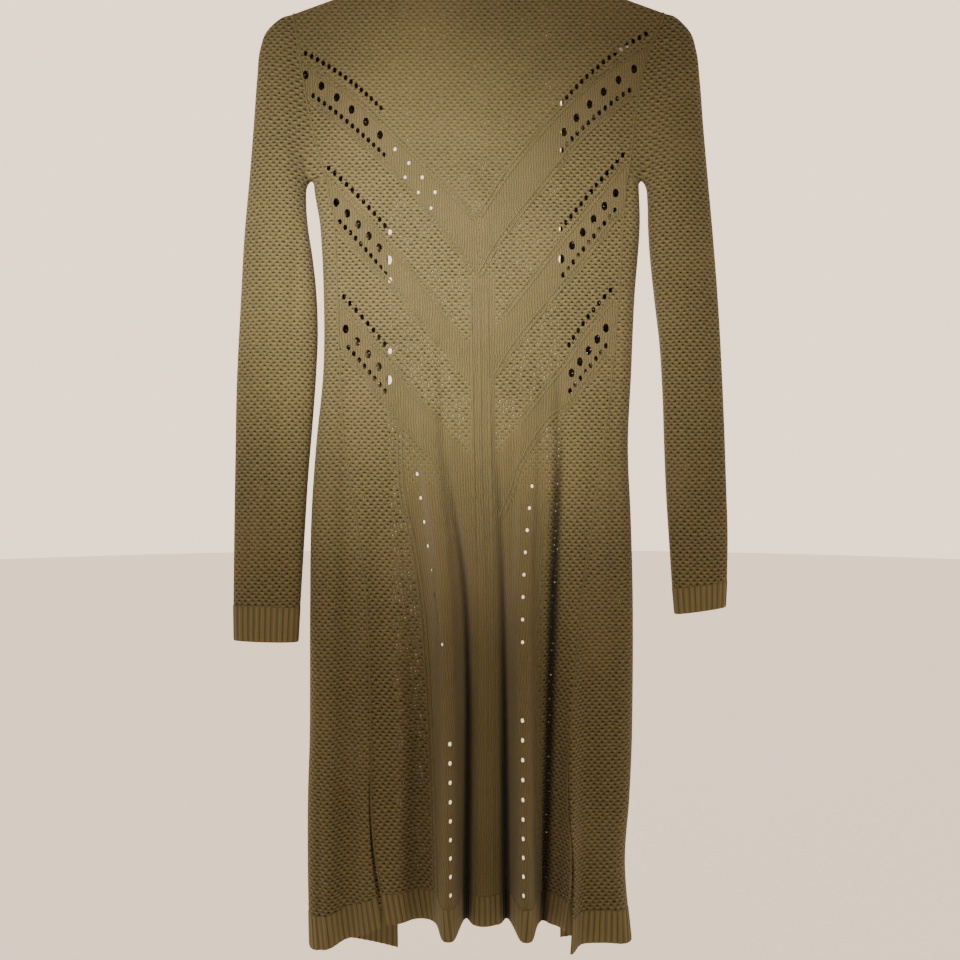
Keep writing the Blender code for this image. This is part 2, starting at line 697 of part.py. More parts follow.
def hanger(collection, cutters):
    """One moulded piece: two sloping arms, round tips, lower bar, and a hook on a stem."""
    arm_end = TIP_X + TIP_RADIUS * math.sin(ARM_SLOPE)
    tip_z = hanger_height(arm_end) - TIP_RADIUS * math.cos(ARM_SLOPE)
    right = [(12.0, hanger_height(12.0)), (100.0, hanger_height(100.0))]
    for k in range(7):
        angle = math.pi / 2 - ARM_SLOPE - (math.pi - ARM_SLOPE) * k / 6
        right.append((TIP_X + TIP_RADIUS * math.cos(angle), tip_z + TIP_RADIUS * math.sin(angle)))
    left = [(-x, z) for x, z in reversed(right)]
    crown = [(0.0, hanger_height(0.0) - 1.5)]
    frame = tube("hanger", crown + right + left, True, collection)
    stem = [(0.0, hanger_height(0.0) - 1.5), (0.0, -72.0), (3.0, -62.0), (10.0, -50.0)]
    for k in range(13):
        angle = math.radians(-42.0 + 250.0 * k / 12)
        stem.append((HOOK_RADIUS * math.cos(angle), HOOK_CENTRE + HOOK_RADIUS * math.sin(angle)))
    hook = bpy.data.objects.new("hook", tube("hook", stem, False, collection))
    hook.hide_render = True
    hook.display_type = "WIRE"
    cutters.objects.link(hook)
    piece = new_object("hanger", frame, collection, "white_plastic")
    join = piece.modifiers.new("moulded_hook", "BOOLEAN")
    join.operation = "UNION"
    join.object = hook


def main():
    for old in list(bpy.data.objects):
        bpy.data.objects.remove(old)
    collection = bpy.data.collections.new("cardigan_on_hanger")
    cutters = bpy.data.collections.new("cutters")
    bpy.context.scene.collection.children.link(collection)
    bpy.context.scene.collection.children.link(cutters)
    panel = back_panel(collection)
    pierce = panel.modifiers.new("eyelets", "BOOLEAN")
    pierce.operation = "DIFFERENCE"
    pierce.object = eyelet_cutter(cutters)
    for side in ("left", "right"):
        front_panel(side, collection)
        sleeve(side, collection)
    hems(collection)
    hanger(collection, cutters)


main()
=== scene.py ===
# %% [markdown]
# # A long knitted cardigan on its hanger
# The real garment is machine knitted in fine olive yarn: a raised dot stitch all over, with smooth
# bands of lace that run from the shoulders to a point on the back and then down to the hem.
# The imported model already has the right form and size, so this script starts from it. It makes each
# cloth again as a finer shell on the same form and gives every surface its stitches. Keeping the
# form in a few short tables means that the shells, the ridges and the seams all agree.

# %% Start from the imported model
import math

import bmesh
import bpy
import numpy as np
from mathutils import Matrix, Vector


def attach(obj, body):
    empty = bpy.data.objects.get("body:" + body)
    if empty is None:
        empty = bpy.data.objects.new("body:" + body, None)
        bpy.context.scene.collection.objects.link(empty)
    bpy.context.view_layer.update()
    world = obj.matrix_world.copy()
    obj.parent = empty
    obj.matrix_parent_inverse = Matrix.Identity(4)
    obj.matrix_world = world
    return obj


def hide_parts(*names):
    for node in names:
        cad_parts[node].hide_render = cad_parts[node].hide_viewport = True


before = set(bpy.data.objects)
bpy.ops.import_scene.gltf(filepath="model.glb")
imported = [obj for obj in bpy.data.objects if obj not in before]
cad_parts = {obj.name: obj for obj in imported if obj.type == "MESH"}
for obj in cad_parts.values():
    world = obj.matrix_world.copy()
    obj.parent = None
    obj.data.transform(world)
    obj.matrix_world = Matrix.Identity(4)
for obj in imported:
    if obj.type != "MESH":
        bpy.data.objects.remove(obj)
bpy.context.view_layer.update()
MM = 0.001
print("nodes in the frame:", len(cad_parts))

# %% [markdown]
# ## Reading the tables
# A garment is drawn from a few measurements, and the cloth between them runs smoothly. A spline
# through each column of a table does the same. A polynomial through all rows would swing between
# them, and straight runs would show as kinks, so each span is a cubic that only knows its
# neighbours.

# %% Tables and smooth columns
def table(columns, *rows):
    """Name the columns of a short table of sections."""
    return [dict(zip(columns.split(), row)) for row in rows]


def cubic(t, span, start, end, slope_in, slope_out):
    """Cubic over one span, from its two values and the slopes there."""
    return (start * (1 + 2 * t) * (1 - t) ** 2 + end * t * t * (3 - 2 * t)
            + span * (slope_in * t * (1 - t) ** 2 - slope_out * t * t * (1 - t)))


def level(rows, column, height):
    """Smooth curve through a column of a table, read at one height or at many."""
    z = np.array([row["z"] for row in rows][::-1], float)
    v = np.array([row[column] for row in rows][::-1], float)
    h = np.clip(height, z[0], z[-1])
    i = np.clip(np.searchsorted(z, h, side="right") - 1, 0, len(z) - 2)
    slope = np.empty_like(v)
    slope[1:-1] = (v[2:] - v[:-2]) / (z[2:] - z[:-2])
    slope[0], slope[-1] = (v[1] - v[0]) / (z[1] - z[0]), (v[-1] - v[-2]) / (z[-1] - z[-2])
    span = z[i + 1] - z[i]
    return cubic((h - z[i]) / span, span, v[i], v[i + 1], slope[i], slope[i + 1])


def ease(value, start, end):
    """Rise smoothly from 0 at start to 1 at end."""
    t = np.clip((np.asarray(value, float) - start) / (end - start), 0, 1)
    return t * t * (3 - 2 * t)


def run_lengths(points):
    """Distance along a run of points, from its start to each of them."""
    return np.concatenate([[0], np.cumsum(np.linalg.norm(np.diff(points, axis=0), axis=1))])


def even_steps(points, count):
    """Even steps along a run of points, and its whole length."""
    lengths = run_lengths(points)
    places = np.linspace(0, lengths[-1], count + 1)
    return np.stack([np.interp(places, lengths, points[:, k]) for k in range(3)], -1), lengths[-1]


# %% Sizes of the cloth and the hanger, in millimetres
SEAM_GAP = 0.3
RIB_PITCH = 6.2
RIB_RAISE = 0.9
HEM_RIB = 33.0
HEM_LEVEL = -1160.0
BODY_END = HEM_LEVEL + HEM_RIB + SEAM_GAP
VENT_TOP = -950.0
VENT_SPREAD = 4.0
UNDERARM = -352.0
SHELL = 1.5
GRAIN = 3.6
TUBE_RADIUS = 4.0
APEX = -99.5
ARM_SLOPE = math.radians(20.0)
NECK_HALF = 93.0
TIP_X = 182.0
TIP_RADIUS = 18.5
HOOK_RADIUS = 24.0
HOOK_CENTRE = -20.0
WRAP_RADIUS = 7.0
NECK_LOW = -151.0
NECK_RISE = 14.0
NECK_FLAT = 88.0
BACK_DROP = 7.0
LEAVES_ARM = -205.0
print("cloth shell", SHELL, "mm thick, rows about", GRAIN, "mm apart")

# %% [markdown]
# ## The form of the body
# These are the driving sizes of the hanging cloth: how deep it hangs, where its armholes and side
# folds run, and the twelve lengthwise folds that deepen towards the hem. Cloth hung from two
# shoulders falls in rolls and valleys that start at the waist, so each fold has a place and a reach
# at three heights and fades in from above the waist.

# %% Sections of the body
DEPTH = table(
    "z       back    front",
    (-150,   -7.0,   7.0),
    (-206,   -7.2,   7.2),
    (-260,   -8.0,   8.0),
    (-352,   -12.0,  9.5),
    (-480,   -16.0,  11.0),
    (-640,   -19.0,  12.0),
    (-815,   -22.0,  12.5),
    (-1000,  -24.0,  13.0),
    (-1200,  -26.0,  13.0))
ARMHOLE = table(
    "z       left     right",
    (-166,   -203.0,  200.0),
    (-186,   -200.0,  192.0),
    (-235,   -193.5,  176.0),
    (-277,   -186.0,  169.0),
    (-315,   -177.0,  165.0),
    (-352,   -166.0,  159.0))
SIDES = table(
    "z       left_fold left_seam left_free right_fold right_seam right_free round",
    (-120,   -182,     -166,     -93,      174,       159,       93,        11),
    (-352,   -182,     -166,     -102,     174,       159,       89,        11),
    (-400,   -175,     -158,     -102,     175,       155,       89,        12),
    (-480,   -171,     -154,     -102,     169,       150,       89,        14),
    (-560,   -171.5,   -151,     -102,     165.5,     143,       89,        15),
    (-640,   -179,     -146,     -101,     162,       133,       89,        16),
    (-720,   -184,     -133,     -99,      165,       121,       89,        16),
    (-815,   -185,     -121,     -97,      167,       108,       89,        16),
    (-950,   -185,     -117,     -95,      166,       95.5,      89,        16),
    (-1020,  -187,     -118,     -94,      163,       94,        89,        16),
    (-1086,  -187,     -114,     -92,      158,       98,        89,        16),
    (-1160,  -185,     -103,     -91,      165,       92,        89,        16))
FOLDS = table(
    "name            waist_x hip_x  hem_x  waist hip    hem    half  soft",
    ("left_ridge",   -160,   -162,  -162,  3.0,  6.0,   12.0,  9.0,  6.0),
    ("left_groove",  -146,   -144,  -143,  -2.0, -4.0,  -4.0,  3.0,  5.0),
    ("left_brim",    -130,   -124,  -122,  0.0,  4.0,   6.0,   6.0,  5.0),
    ("left_hollow",  -90,    -68,   -64,   -1.0, -6.0,  -15.0, 14.0, 8.0),
    ("left_roll",    -56,    -37,   -33,   3.0,  14.0,  40.0,  10.0, 3.8),
    ("left_valley",  -39,    -15.5, -15,   -4.0, -10.0, -22.0, 3.0,  3.5),
    ("centre",       0,      4.0,   4.0,   1.0,  3.0,   6.0,   9.0,  6.0),
    ("right_valley", 18,     25,    29,    -4.0, -9.0,  -22.0, 3.0,  3.5),
    ("right_roll",   52,     47,    48,    3.0,  12.0,  41.0,  10.0, 3.8),
    ("deep_valley",  86,     79,    68,    -9.0, -15.0, -15.0, 3.5,  4.5),
    ("right_brim",   112,    101,   95,    2.0,  9.0,   33.0,  6.0,  6.5),
    ("right_groove", 146,    144,   150,   -3.0, -4.0,  2.0,   5.0,  6.0))
FOLD_LEVELS = (("waist", -640.0), ("hip", -815.0), ("hem", -1160.0))
FOLD_START = -500.0
HEM_DROP = table(
    "z    left    right",
    (0,   4.0,    -13.0),
    (-1,  -16.0,  -13.0),
    (-2,  -20.0,  -18.0),
    (-3,  -36.0,  -25.0))
BACK_COLUMNS = table(
    "top    fold            shift",
    (-93,   "left_roll",    -15),
    (-92,   "left_roll",    -11),
    (-91,   "left_roll",    -7),
    (-88,   "left_roll",    0),
    (-76,   "left_roll",    7),
    (-62,   "left_roll",    11),
    (-48,   "left_valley",  -2.5),
    (-34,   "left_valley",  3.5),
    (-20,   "centre",       -7),
    (20,    "centre",       8),
    (34,    "right_valley", -3.5),
    (48,    "right_valley", 2.5),
    (62,    "right_roll",   -11),
    (76,    "right_roll",   -7),
    (88,    "right_roll",   0),
    (91,    "right_roll",   7),
    (92,    "right_roll",   11),
    (93,    "deep_valley",  -4.5))
LEFT_STRIPS = 5
RIGHT_STRIPS = 4
print("folds:", len(FOLDS))

# %% [markdown]
# ## Creases
# Between the big folds real cloth keeps small soft marks: drags from the armholes, slack at the
# waist, dents where it was folded. A simulation would place them anywhere, so they are placed one by
# one, each as a short trough or, where its depth is below zero, a ridge. Their lengths, widths
# and spacing are uneven, because even ones look like corrugation.

# %% Creases
CREASES = {
    "back": table(
        "x0    z0    x1    z1     width depth",
        (-188, -232, -176, -330,  7,    1.6),
        (-172, -300, -150, -372,  9,    -1.4),
        (-158, -352, -139, -452,  8,    1.5),
        (169,  -228, 157,  -322,  7,    1.5),
        (160,  -330, 146,  -405,  9,    -1.3),
        (148,  -398, 133,  -470,  7,    1.3),
        (-120, -470, -133, -575,  10,   1.7),
        (-96,  -560, -108, -700,  9,    -1.8),
        (-112, -690, -103, -842,  8,    1.6),
        (118,  -492, 112,  -590,  9,    1.5),
        (96,   -548, 103,  -668,  7,    -1.4),
        (-70,  -196, -34,  -214,  9,    1.0),
        (48,   -186, 86,   -201,  8,    0.9),
        (-14,  -232, 30,   -243,  12,   0.8),
        (-84,  -880, -77,  -1010, 8,    -1.6),
        (-92,  -960, -98,  -1090, 7,    1.5)),
    "front_back": table(
        "x0    z0    x1    z1     width depth",
        (-176, -560, -160, -668,  7,    1.3),
        (-150, -720, -158, -868,  8,    -1.4),
        (-171, -850, -166, -985,  6,    1.3),
        (-135, -930, -141, -1080, 7,    1.2),
        (150,  -540, 155,  -650,  7,    1.2),
        (139,  -690, 131,  -838,  8,    -1.3),
        (158,  -822, 150,  -968,  7,    1.3),
        (121,  -930, 127,  -1075, 6,    1.1)),
    "front": table(
        "x0    z0    x1    z1     width depth",
        (-172, -240, -150, -335,  8,    1.5),
        (-135, -330, -118, -470,  10,   -1.6),
        (-150, -520, -131, -690,  9,    1.8),
        (-116, -640, -124, -842,  8,    -1.5),
        (-158, -790, -148, -1010, 9,    1.7),
        (162,  -236, 143,  -322,  8,    1.4),
        (124,  -322, 108,  -448,  9,    -1.5),
        (143,  -505, 121,  -655,  9,    1.7),
        (107,  -668, 114,  -880,  8,    -1.5),
        (146,  -802, 138,  -1032, 9,    1.6)),
    "sleeve_back": table(
        "x0    z0    x1    z1     width depth",
        (-196, -392, -203, -560,  6,    2.4),
        (-232, -232, -214, -322,  9,    1.8),
        (-246, -430, -238, -560,  8,    -1.5),
        (-212, -560, -222, -700,  8,    2.0),
        (-240, -655, -233, -790,  7,    -1.4),
        (199,  -385, 209,  -560,  6,    2.3),
        (226,  -226, 208,  -312,  9,    1.7),
        (240,  -400, 236,  -542,  8,    -1.5),
        (224,  -545, 232,  -688,  8,    1.9),
        (246,  -622, 243,  -745,  7,    -1.3)),
    "sleeve_front": table(
        "x0    z0    x1    z1     width depth",
        (-222, -250, -206, -352,  8,    1.6),
        (-240, -372, -226, -520,  9,    -1.6),
        (-206, -498, -214, -655,  7,    1.8),
        (-243, -640, -236, -772,  7,    1.4),
        (218,  -244, 203,  -340,  8,    1.5),
        (235,  -362, 222,  -505,  9,    -1.6),
        (213,  -490, 224,  -640,  7,    1.7),
        (248,  -628, 241,  -742,  7,    1.3))}


def crease(cloth, x, height):
    """How far the creases of one cloth press it in at a place."""
    x, height = np.broadcast_arrays(np.asarray(x, float), np.asarray(height, float))
    total = np.zeros(x.shape)
    for mark in CREASES[cloth]:
        run_x, run_z = mark["x1"] - mark["x0"], mark["z1"] - mark["z0"]
        along = ((x - mark["x0"]) * run_x + (height - mark["z0"]) * run_z) / (run_x ** 2 + run_z ** 2)
        t = np.clip(along, 0, 1)
        away = np.hypot(x - mark["x0"] - t * run_x, height - mark["z0"] - t * run_z)
        total += mark["depth"] * (0.3 + 0.7 * np.sin(np.pi * t)) * np.exp(-(away / mark["width"]) ** 2)
    return total


print("creases placed by hand:", sum(map(len, CREASES.values())))

# %% [markdown]
# ## Faces of the body
# Every point of the back and of the fronts comes from a place across and a height. The back's depth
# is the mean depth with the folds on it. A front starts at the side seam on the back, runs round
# the side fold and lies flat behind. Both wrap over the hanger's arms at the shoulders.

# %% Back and front as functions of place and height
def fold_at(fold, what, height):
    """Place or reach of one fold at a height."""
    names = {"x": ("waist_x", "hip_x", "hem_x"), "out": ("waist", "hip", "hem")}[what]
    rows = [{"z": place, "v": fold[name]} for (_, place), name in zip(FOLD_LEVELS, names)]
    value = level(rows, "v", height)
    if what == "out":
        value = value * ease(height, FOLD_START, FOLD_LEVELS[0][1])
    return value


def back_depth(x, height):
    """Outer face of the cloth that shows from the back."""
    y = level(DEPTH, "back", height) + 0.0 * x
    for fold in FOLDS:
        away = x - fold_at(fold, "x", height)
        rise = np.tanh((away + fold["half"]) / fold["soft"])
        fall = np.tanh((away - fold["half"]) / fold["soft"])
        y = y - fold_at(fold, "out", height) * (rise - fall) / 2
    return y


def front_depth(x, height):
    """Outer face of the fronts, with a slight wave."""
    wave = 1.6 * np.sin(x / 17.0 + height / 260.0) * ease(height, -300.0, -700.0)
    return level(DEPTH, "front", height) + wave


def vent(height):
    """Half of the opening between back and front at the side seam."""
    return SEAM_GAP / 2 + VENT_SPREAD / 2 * ease(height, VENT_TOP, HEM_LEVEL)


def lowered(height, drop):
    """Lower the rows near the hem so that its edge hangs as far as it does."""
    return height + drop * ease(height, VENT_TOP - 60.0, HEM_LEVEL)


def seam_line(side, height):
    """Edge of the back: armhole seam, then side seam."""
    return np.where(np.asarray(height) >= UNDERARM, level(ARMHOLE, side, height),
                    level(SIDES, side + "_seam", height))


def back_point(x, height):
    """Point of the back's outer face, creases included."""
    x, height = np.broadcast_arrays(np.asarray(x, float), np.asarray(height, float))
    y = back_depth(x, height) + crease("back", x, height)
    return np.stack([x, y, lowered(height, BACK_DROP)], -1)


def back_normal(x, height):
    """Outward direction of the back at a place."""
    across = back_point(x + 0.5, height) - back_point(x - 0.5, height)
    down = back_point(x, height - 0.5) - back_point(x, height + 0.5)
    normal = np.cross(down, across)
    return normal / np.linalg.norm(normal, axis=-1, keepdims=True)


def front_point(side, run, height):
    """Point of a front: 0 to 1 seam to side fold, 1 to 2 the fold, 2 to 3 to the free edge."""
    run, height = np.broadcast_arrays(np.asarray(run, float), np.asarray(height, float))
    sign = -1.0 if side == "left" else 1.0
    bend = level(SIDES, "round", height)
    inner = level(SIDES, side + "_fold", height) - sign * bend
    seam = level(SIDES, side + "_seam", height) + sign * vent(height)
    free = level(SIDES, side + "_free", height)
    first = seam + (inner - seam) * np.clip(run, 0, 1)
    last = inner + (free - inner) * np.clip(run - 2, 0, 1)
    turn = np.pi * (np.clip(run, 1, 2) - 1.5)
    near, far = back_depth(inner, height), front_depth(inner, height)
    bent = inner + sign * bend * np.cos(turn)
    bent_y = (near + far) / 2 + (far - near) / 2 * np.sin(turn)
    x = np.where(run <= 1, first, np.where(run < 2, bent, last))
    edge_fade = np.clip(np.abs(run - 1.5) * 2 - 1, 0, 1) ** 0.5
    y_back = back_depth(first, height) + crease("front_back", first, height) * edge_fade
    y_front = front_depth(last, height) - crease("front", last, height) * edge_fade
    y = np.where(run <= 1, y_back, np.where(run < 2, bent_y, y_front))
    return np.stack([x, y, lowered(height, level(HEM_DROP, side, -run))], -1)


# %% Shoulders over the hanger's arms
def hanger_height(x):
    """Centre of the hanger's arm above a place across the shoulders."""
    return APEX - np.abs(x) * math.tan(ARM_SLOPE)


def shoulder_point(x, share, face):
    """Top of a column, 0 at its edge and 1 where it leaves the arm. face is -1 or +1."""
    start = 90.0 * ease(NECK_HALF - np.abs(x), 0.0, 2.0)
    turn = np.radians(start + (90.0 - start) * share)
    wrap_y = np.maximum(SEAM_GAP / 2, WRAP_RADIUS * np.sin(turn))
    wrap_z = hanger_height(x) + WRAP_RADIUS * np.cos(turn) / math.cos(ARM_SLOPE)
    wrap_z = wrap_z - 9.0 * share * ease(start, 80.0, 90.0)
    neck_z = NECK_LOW + NECK_RISE * (np.abs(x) / NECK_FLAT) ** 4 - 13.0 * share
    over_arm = np.abs(x) > NECK_FLAT + 1
    y = face * np.where(over_arm, wrap_y, WRAP_RADIUS)
    return np.stack([x, y, np.where(over_arm, wrap_z, neck_z)], -1)


def back_places(height):
    """Where the back's columns stand at a height."""
    blend = ease(height, -206.0, FOLD_START)
    folds = {fold["name"]: fold for fold in FOLDS}
    inner = []
    for column in BACK_COLUMNS:
        low = fold_at(folds[column["fold"]], "x", min(height, -640.0)) + column["shift"]
        inner.append(column["top"] + (low - column["top"]) * blend)
    left = seam_line("left", height) + vent(height)
    right = seam_line("right", height) - vent(height)
    edge = [left + (inner[0] - left) * k / LEFT_STRIPS for k in range(LEFT_STRIPS)]
    tail = [inner[-1] + (right - inner[-1]) * (k + 1) / RIGHT_STRIPS for k in range(RIGHT_STRIPS)]
    return np.array(edge + inner + tail, float)


print("back is", round(float(np.ptp(back_places(-815.0)))), "mm wide at the hips")

# %% [markdown]
# ## Lace lines
# The lace bands are framed by pairs of narrow raised ribs, and inside each band the knit is plain
# and smooth. The lines below are drawn once, as places on the back, and used twice: the ribs are
# made on them, and the stitch changes across them.

# %% Lines of the lace bands on the back
BAND_LINES = {
    "left_1_upper": ((-198, -221), (-141, -257), (-91, -304), (-54, -341.6), (-4.3, -395)),
    "left_1_lower": ((-186, -263), (-141, -298), (-104, -331), (-92, -343), (-32.5, -417), (-7, -453)),
    "left_2_upper": ((-168, -345), (-129, -386), (-97.5, -423), (-65, -462), (-32.5, -503)),
    "left_2_lower": ((-165, -390), (-132, -428), (-97, -465), (-68.4, -500), (-45, -531)),
    "left_3_upper": ((-155, -480), (-113.4, -530), (-95, -551), (-70.5, -585), (-43.4, -614)),
    "left_3_lower": ((-148, -535), (-128.5, -559), (-102, -595), (-88, -617), (-43.4, -668)),
    "right_1_upper": ((184, -203), (131, -237), (87, -276), (34.7, -337.2), (-1.1, -392)),
    "right_1_lower": ((166, -258), (118.6, -296), (88, -331.7), (21.7, -417), (-1.1, -457)),
    "right_2_upper": ((155, -336), (124.8, -373), (87.7, -419), (60, -455), (25, -500)),
    "right_2_lower": ((152, -385), (119, -430), (90, -465), (60, -502), (38, -530), (16.3, -565)),
    "right_3_upper": ((141, -484), (110, -523), (96, -545), (70, -578), (45, -612)),
    "right_3_lower": ((137, -541), (108, -580), (93.8, -597), (72.6, -614), (43.4, -661),
                      (34.7, -688), (21.7, -720))}
UPRIGHT_LINES = {
    "edge_left": ((-87, -623), (-84.4, -688), (-70, -757.7), (-60, -838), (-51.5, -993), (-47, -1126)),
    "edge_right": ((72, -700), (65.6, -797), (64.4, -851), (63.2, -1000), (63.2, -1126)),
    "centre_left": ((-9.7, -474), (-5.4, -731), (-3.2, -851), (-3, -1126)),
    "centre_right": ((-1.1, -474), (2, -677), (6.4, -819), (6.4, -1126)),
    "centre_faint": ((7.5, -468), (12, -677), (14, -850), (14, -1126))}


def smooth_line(points, step):
    """Even steps along a smooth curve through a few points."""
    knots = np.array(points, float)
    lengths = run_lengths(knots)
    rows = [dict(z=-s, x=p[0], y=p[1]) for s, p in zip(lengths, knots)]
    places = np.linspace(0, lengths[-1], max(2, int(lengths[-1] / step)))
    return np.stack([level(rows, "x", -places), level(rows, "y", -places)], -1)


def smooth_share(x, height):
    """1 where the knit is plain and smooth, 0 where it is dotted."""
    x, height = np.broadcast_arrays(np.asarray(x, float), np.asarray(height, float))
    share = np.zeros(x.shape)
    for side, sign in (("left", -1), ("right", 1)):
        for number in "123":
            ends = []
            for edge in ("upper", "lower"):
                line = np.array(BAND_LINES[f"{side}_{number}_{edge}"], float)
                slope = (line[-1, 1] - line[-2, 1]) / (line[-1, 0] - line[-2, 0])
                line = np.vstack([line, [[0.0, line[-1, 1] - slope * line[-1, 0]]]])
                line = line[np.argsort(line[:, 0])]
                ends.append(np.interp(x, line[:, 0], line[:, 1]))
            inside = ease(ends[0] - height, -2, 3) * ease(height - ends[1], -2, 3)
            inside = inside * ease(sign * x, -6, 4)
            share = np.maximum(share, inside)
    edges = []
    for name in ("edge_left", "edge_right"):
        line = np.array(UPRIGHT_LINES[name], float)[::-1]
        edges.append(np.interp(height, line[:, 1], line[:, 0]))
    column = ease(x - edges[0], -2, 3) * ease(edges[1] - x, -2, 3) * ease(height, -600, -720)
    spine = ease(16 - np.abs(x - 3), 0, 5) * ease(height, -440, -470)
    return np.maximum(np.maximum(share, column), spine)


def yoke_share(x, height):
    """1 on the yoke over the first bands, where the dots are small and shallow."""
    left = np.array(BAND_LINES["left_1_upper"], float)
    right = np.array(BAND_LINES["right_1_upper"], float)[::-1]
    line = np.concatenate([left, right[1:]])
    return ease(height - np.interp(x, line[:, 0], line[:, 1]), -2, 6)


print("lace lines:", len(BAND_LINES) + len(UPRIGHT_LINES))

# %% [markdown]
# ## From grids to cloth
# A knitted panel is one thin sheet, so each piece is a grid of points on the outer face, closed
# inwards by Solidify. Two sets of coordinates go with it. The first holds millimetres along and
# across the cloth, so that a stitch has the same size everywhere. The second says what is knitted
# there. An unwrap tool would stretch the stitches, while these follow the cloth.

# %% Mesh from grids
def fold_shade_share(points):
    """Painted shade: 1 where a point lies deep in a narrow fold of the back, where little light
    reaches.
    """
    x, y, height = points[..., 0], points[..., 1], points[..., 2]
    sunk = (y - level(DEPTH, "back", height)) * ease(height, -500, -700)
    narrow = ease(x, -42.0, -28.0) * ease(-x, -130.0, -118.0)
    return np.where(y < 4, ease(sunk, 1.0, 9.5) * (0.2 + 0.8 * narrow), 0.0)


def mesh_from(form, name, finish=None):
    """Turn a form into a mesh with its finish."""
    mesh = bpy.data.meshes.new(name)
    form.to_mesh(mesh)
    form.free()
    if finish:
        mesh.materials.append(finish)
    return mesh


def placed(name, data):
    """A new object in the scene."""
    piece = bpy.data.objects.new(name, data)
    bpy.context.scene.collection.objects.link(piece)
    return piece


def cloth_shell(name, patches, flip, finish):
    """Closed shell from patches of outer points with their two sets of coordinates, in mm."""
    form = bmesh.new()
    layers = [form.loops.layers.uv.new(layer) for layer in ("cloth", "zones", "folds")]
    for points, cloth, zones, ring in patches:
        rows, columns = points.shape[:2]
        deep = fold_shade_share(points)
        distinct = columns - 1 if ring else columns
        verts = [[form.verts.new(points[i, j] * MM) for j in range(distinct)] for i in range(rows)]
        for i in range(rows - 1):
            for j in range(columns - 1):
                corners = [(i, j), (i + 1, j), (i + 1, j + 1), (i, j + 1)]
                if flip:
                    corners.reverse()
                face = form.faces.new([verts[a][b % distinct] for a, b in corners])
                face.smooth = True
                for loop, (a, b) in zip(face.loops, corners):
                    loop[layers[0]].uv = cloth[a, b]
                    loop[layers[1]].uv = zones[a, b]
                    # The third set carries the painted shade of the narrow folds.
                    loop[layers[2]].uv = deep[a, b], 0.0
    bmesh.ops.remove_doubles(form, verts=form.verts, dist=1e-6)
    piece = placed(name, mesh_from(form, name, finish))
    wall = piece.modifiers.new("wall", "SOLIDIFY")
    wall.thickness = SHELL * MM
    wall.offset = -1
    settle(piece)
    return piece


def settle(piece):
    """Apply a piece's modifiers."""
    view = bpy.context.evaluated_depsgraph_get()
    mesh = bpy.data.meshes.new_from_object(piece.evaluated_get(view))
    piece.modifiers.clear()
    old, piece.data = piece.data, mesh
    bpy.data.meshes.remove(old)
    mesh.name = piece.name
    mesh.set_sharp_from_angle(angle=math.radians(55))
    faces = sum(len(face.vertices) - 2 for face in mesh.polygons)
    area = sum(face.area for face in mesh.polygons) / 2
    print(f"{piece.name}: {faces} triangles, about {area:.3f} m2 of cloth")


def along_rows(points, start=0):
    """Level distance along each row from one of its columns."""
    steps = np.linalg.norm(np.diff(points[..., :2], axis=1), axis=2)
    lengths = np.concatenate([np.zeros((len(points), 1)), np.cumsum(steps, axis=1)], axis=1)
    return lengths - lengths[:, start:start + 1]


# %% [markdown]
# ## Stitches as shader maths
# Each finish is built from expressions. A small class stands for one output of a node, so that
# sums are written as sums and each operator adds its Math node. Colours and vectors take the Mix
# and Vector Math nodes, since Math would turn them grey. Image textures would repeat and blur, and
# formulas stay sharp from any distance.

# %% A socket that works in sums
class Signal:
    """One output of a node, for use in expressions."""

    def __init__(self, recipe, socket):
        self.recipe = recipe
        self.socket = socket

    def maths(self, operation, *values):
        return self.recipe.add("ShaderNodeMath", {"operation": operation}, dict(enumerate(values)))

    def __add__(self, other):
        return self.maths("ADD", self, other)

    def __sub__(self, other):
        return self.maths("SUBTRACT", self, other)

    def __rsub__(self, other):
        return self.maths("SUBTRACT", other, self)

    def __mul__(self, other):
        return self.maths("MULTIPLY", self, other)

    def __truediv__(self, other):
        return self.maths("DIVIDE", self, other)

    __radd__, __rmul__ = __add__, __mul__

    def fraction(self):
        return self.maths("FRACT", self)

    def size(self):
        return self.maths("ABSOLUTE", self)

    def wave(self):
        return self.maths("SINE", self * (2 * math.pi)) * 0.5 + 0.5

    def least(self, other):
        return self.maths("MINIMUM", self, other)

    def rise(self, low, high):
        return self.recipe.add("ShaderNodeMapRange", {"interpolation_type": "SMOOTHSTEP"},
                               {0: self, 1: low, 2: high, 3: 0.0, 4: 1.0})


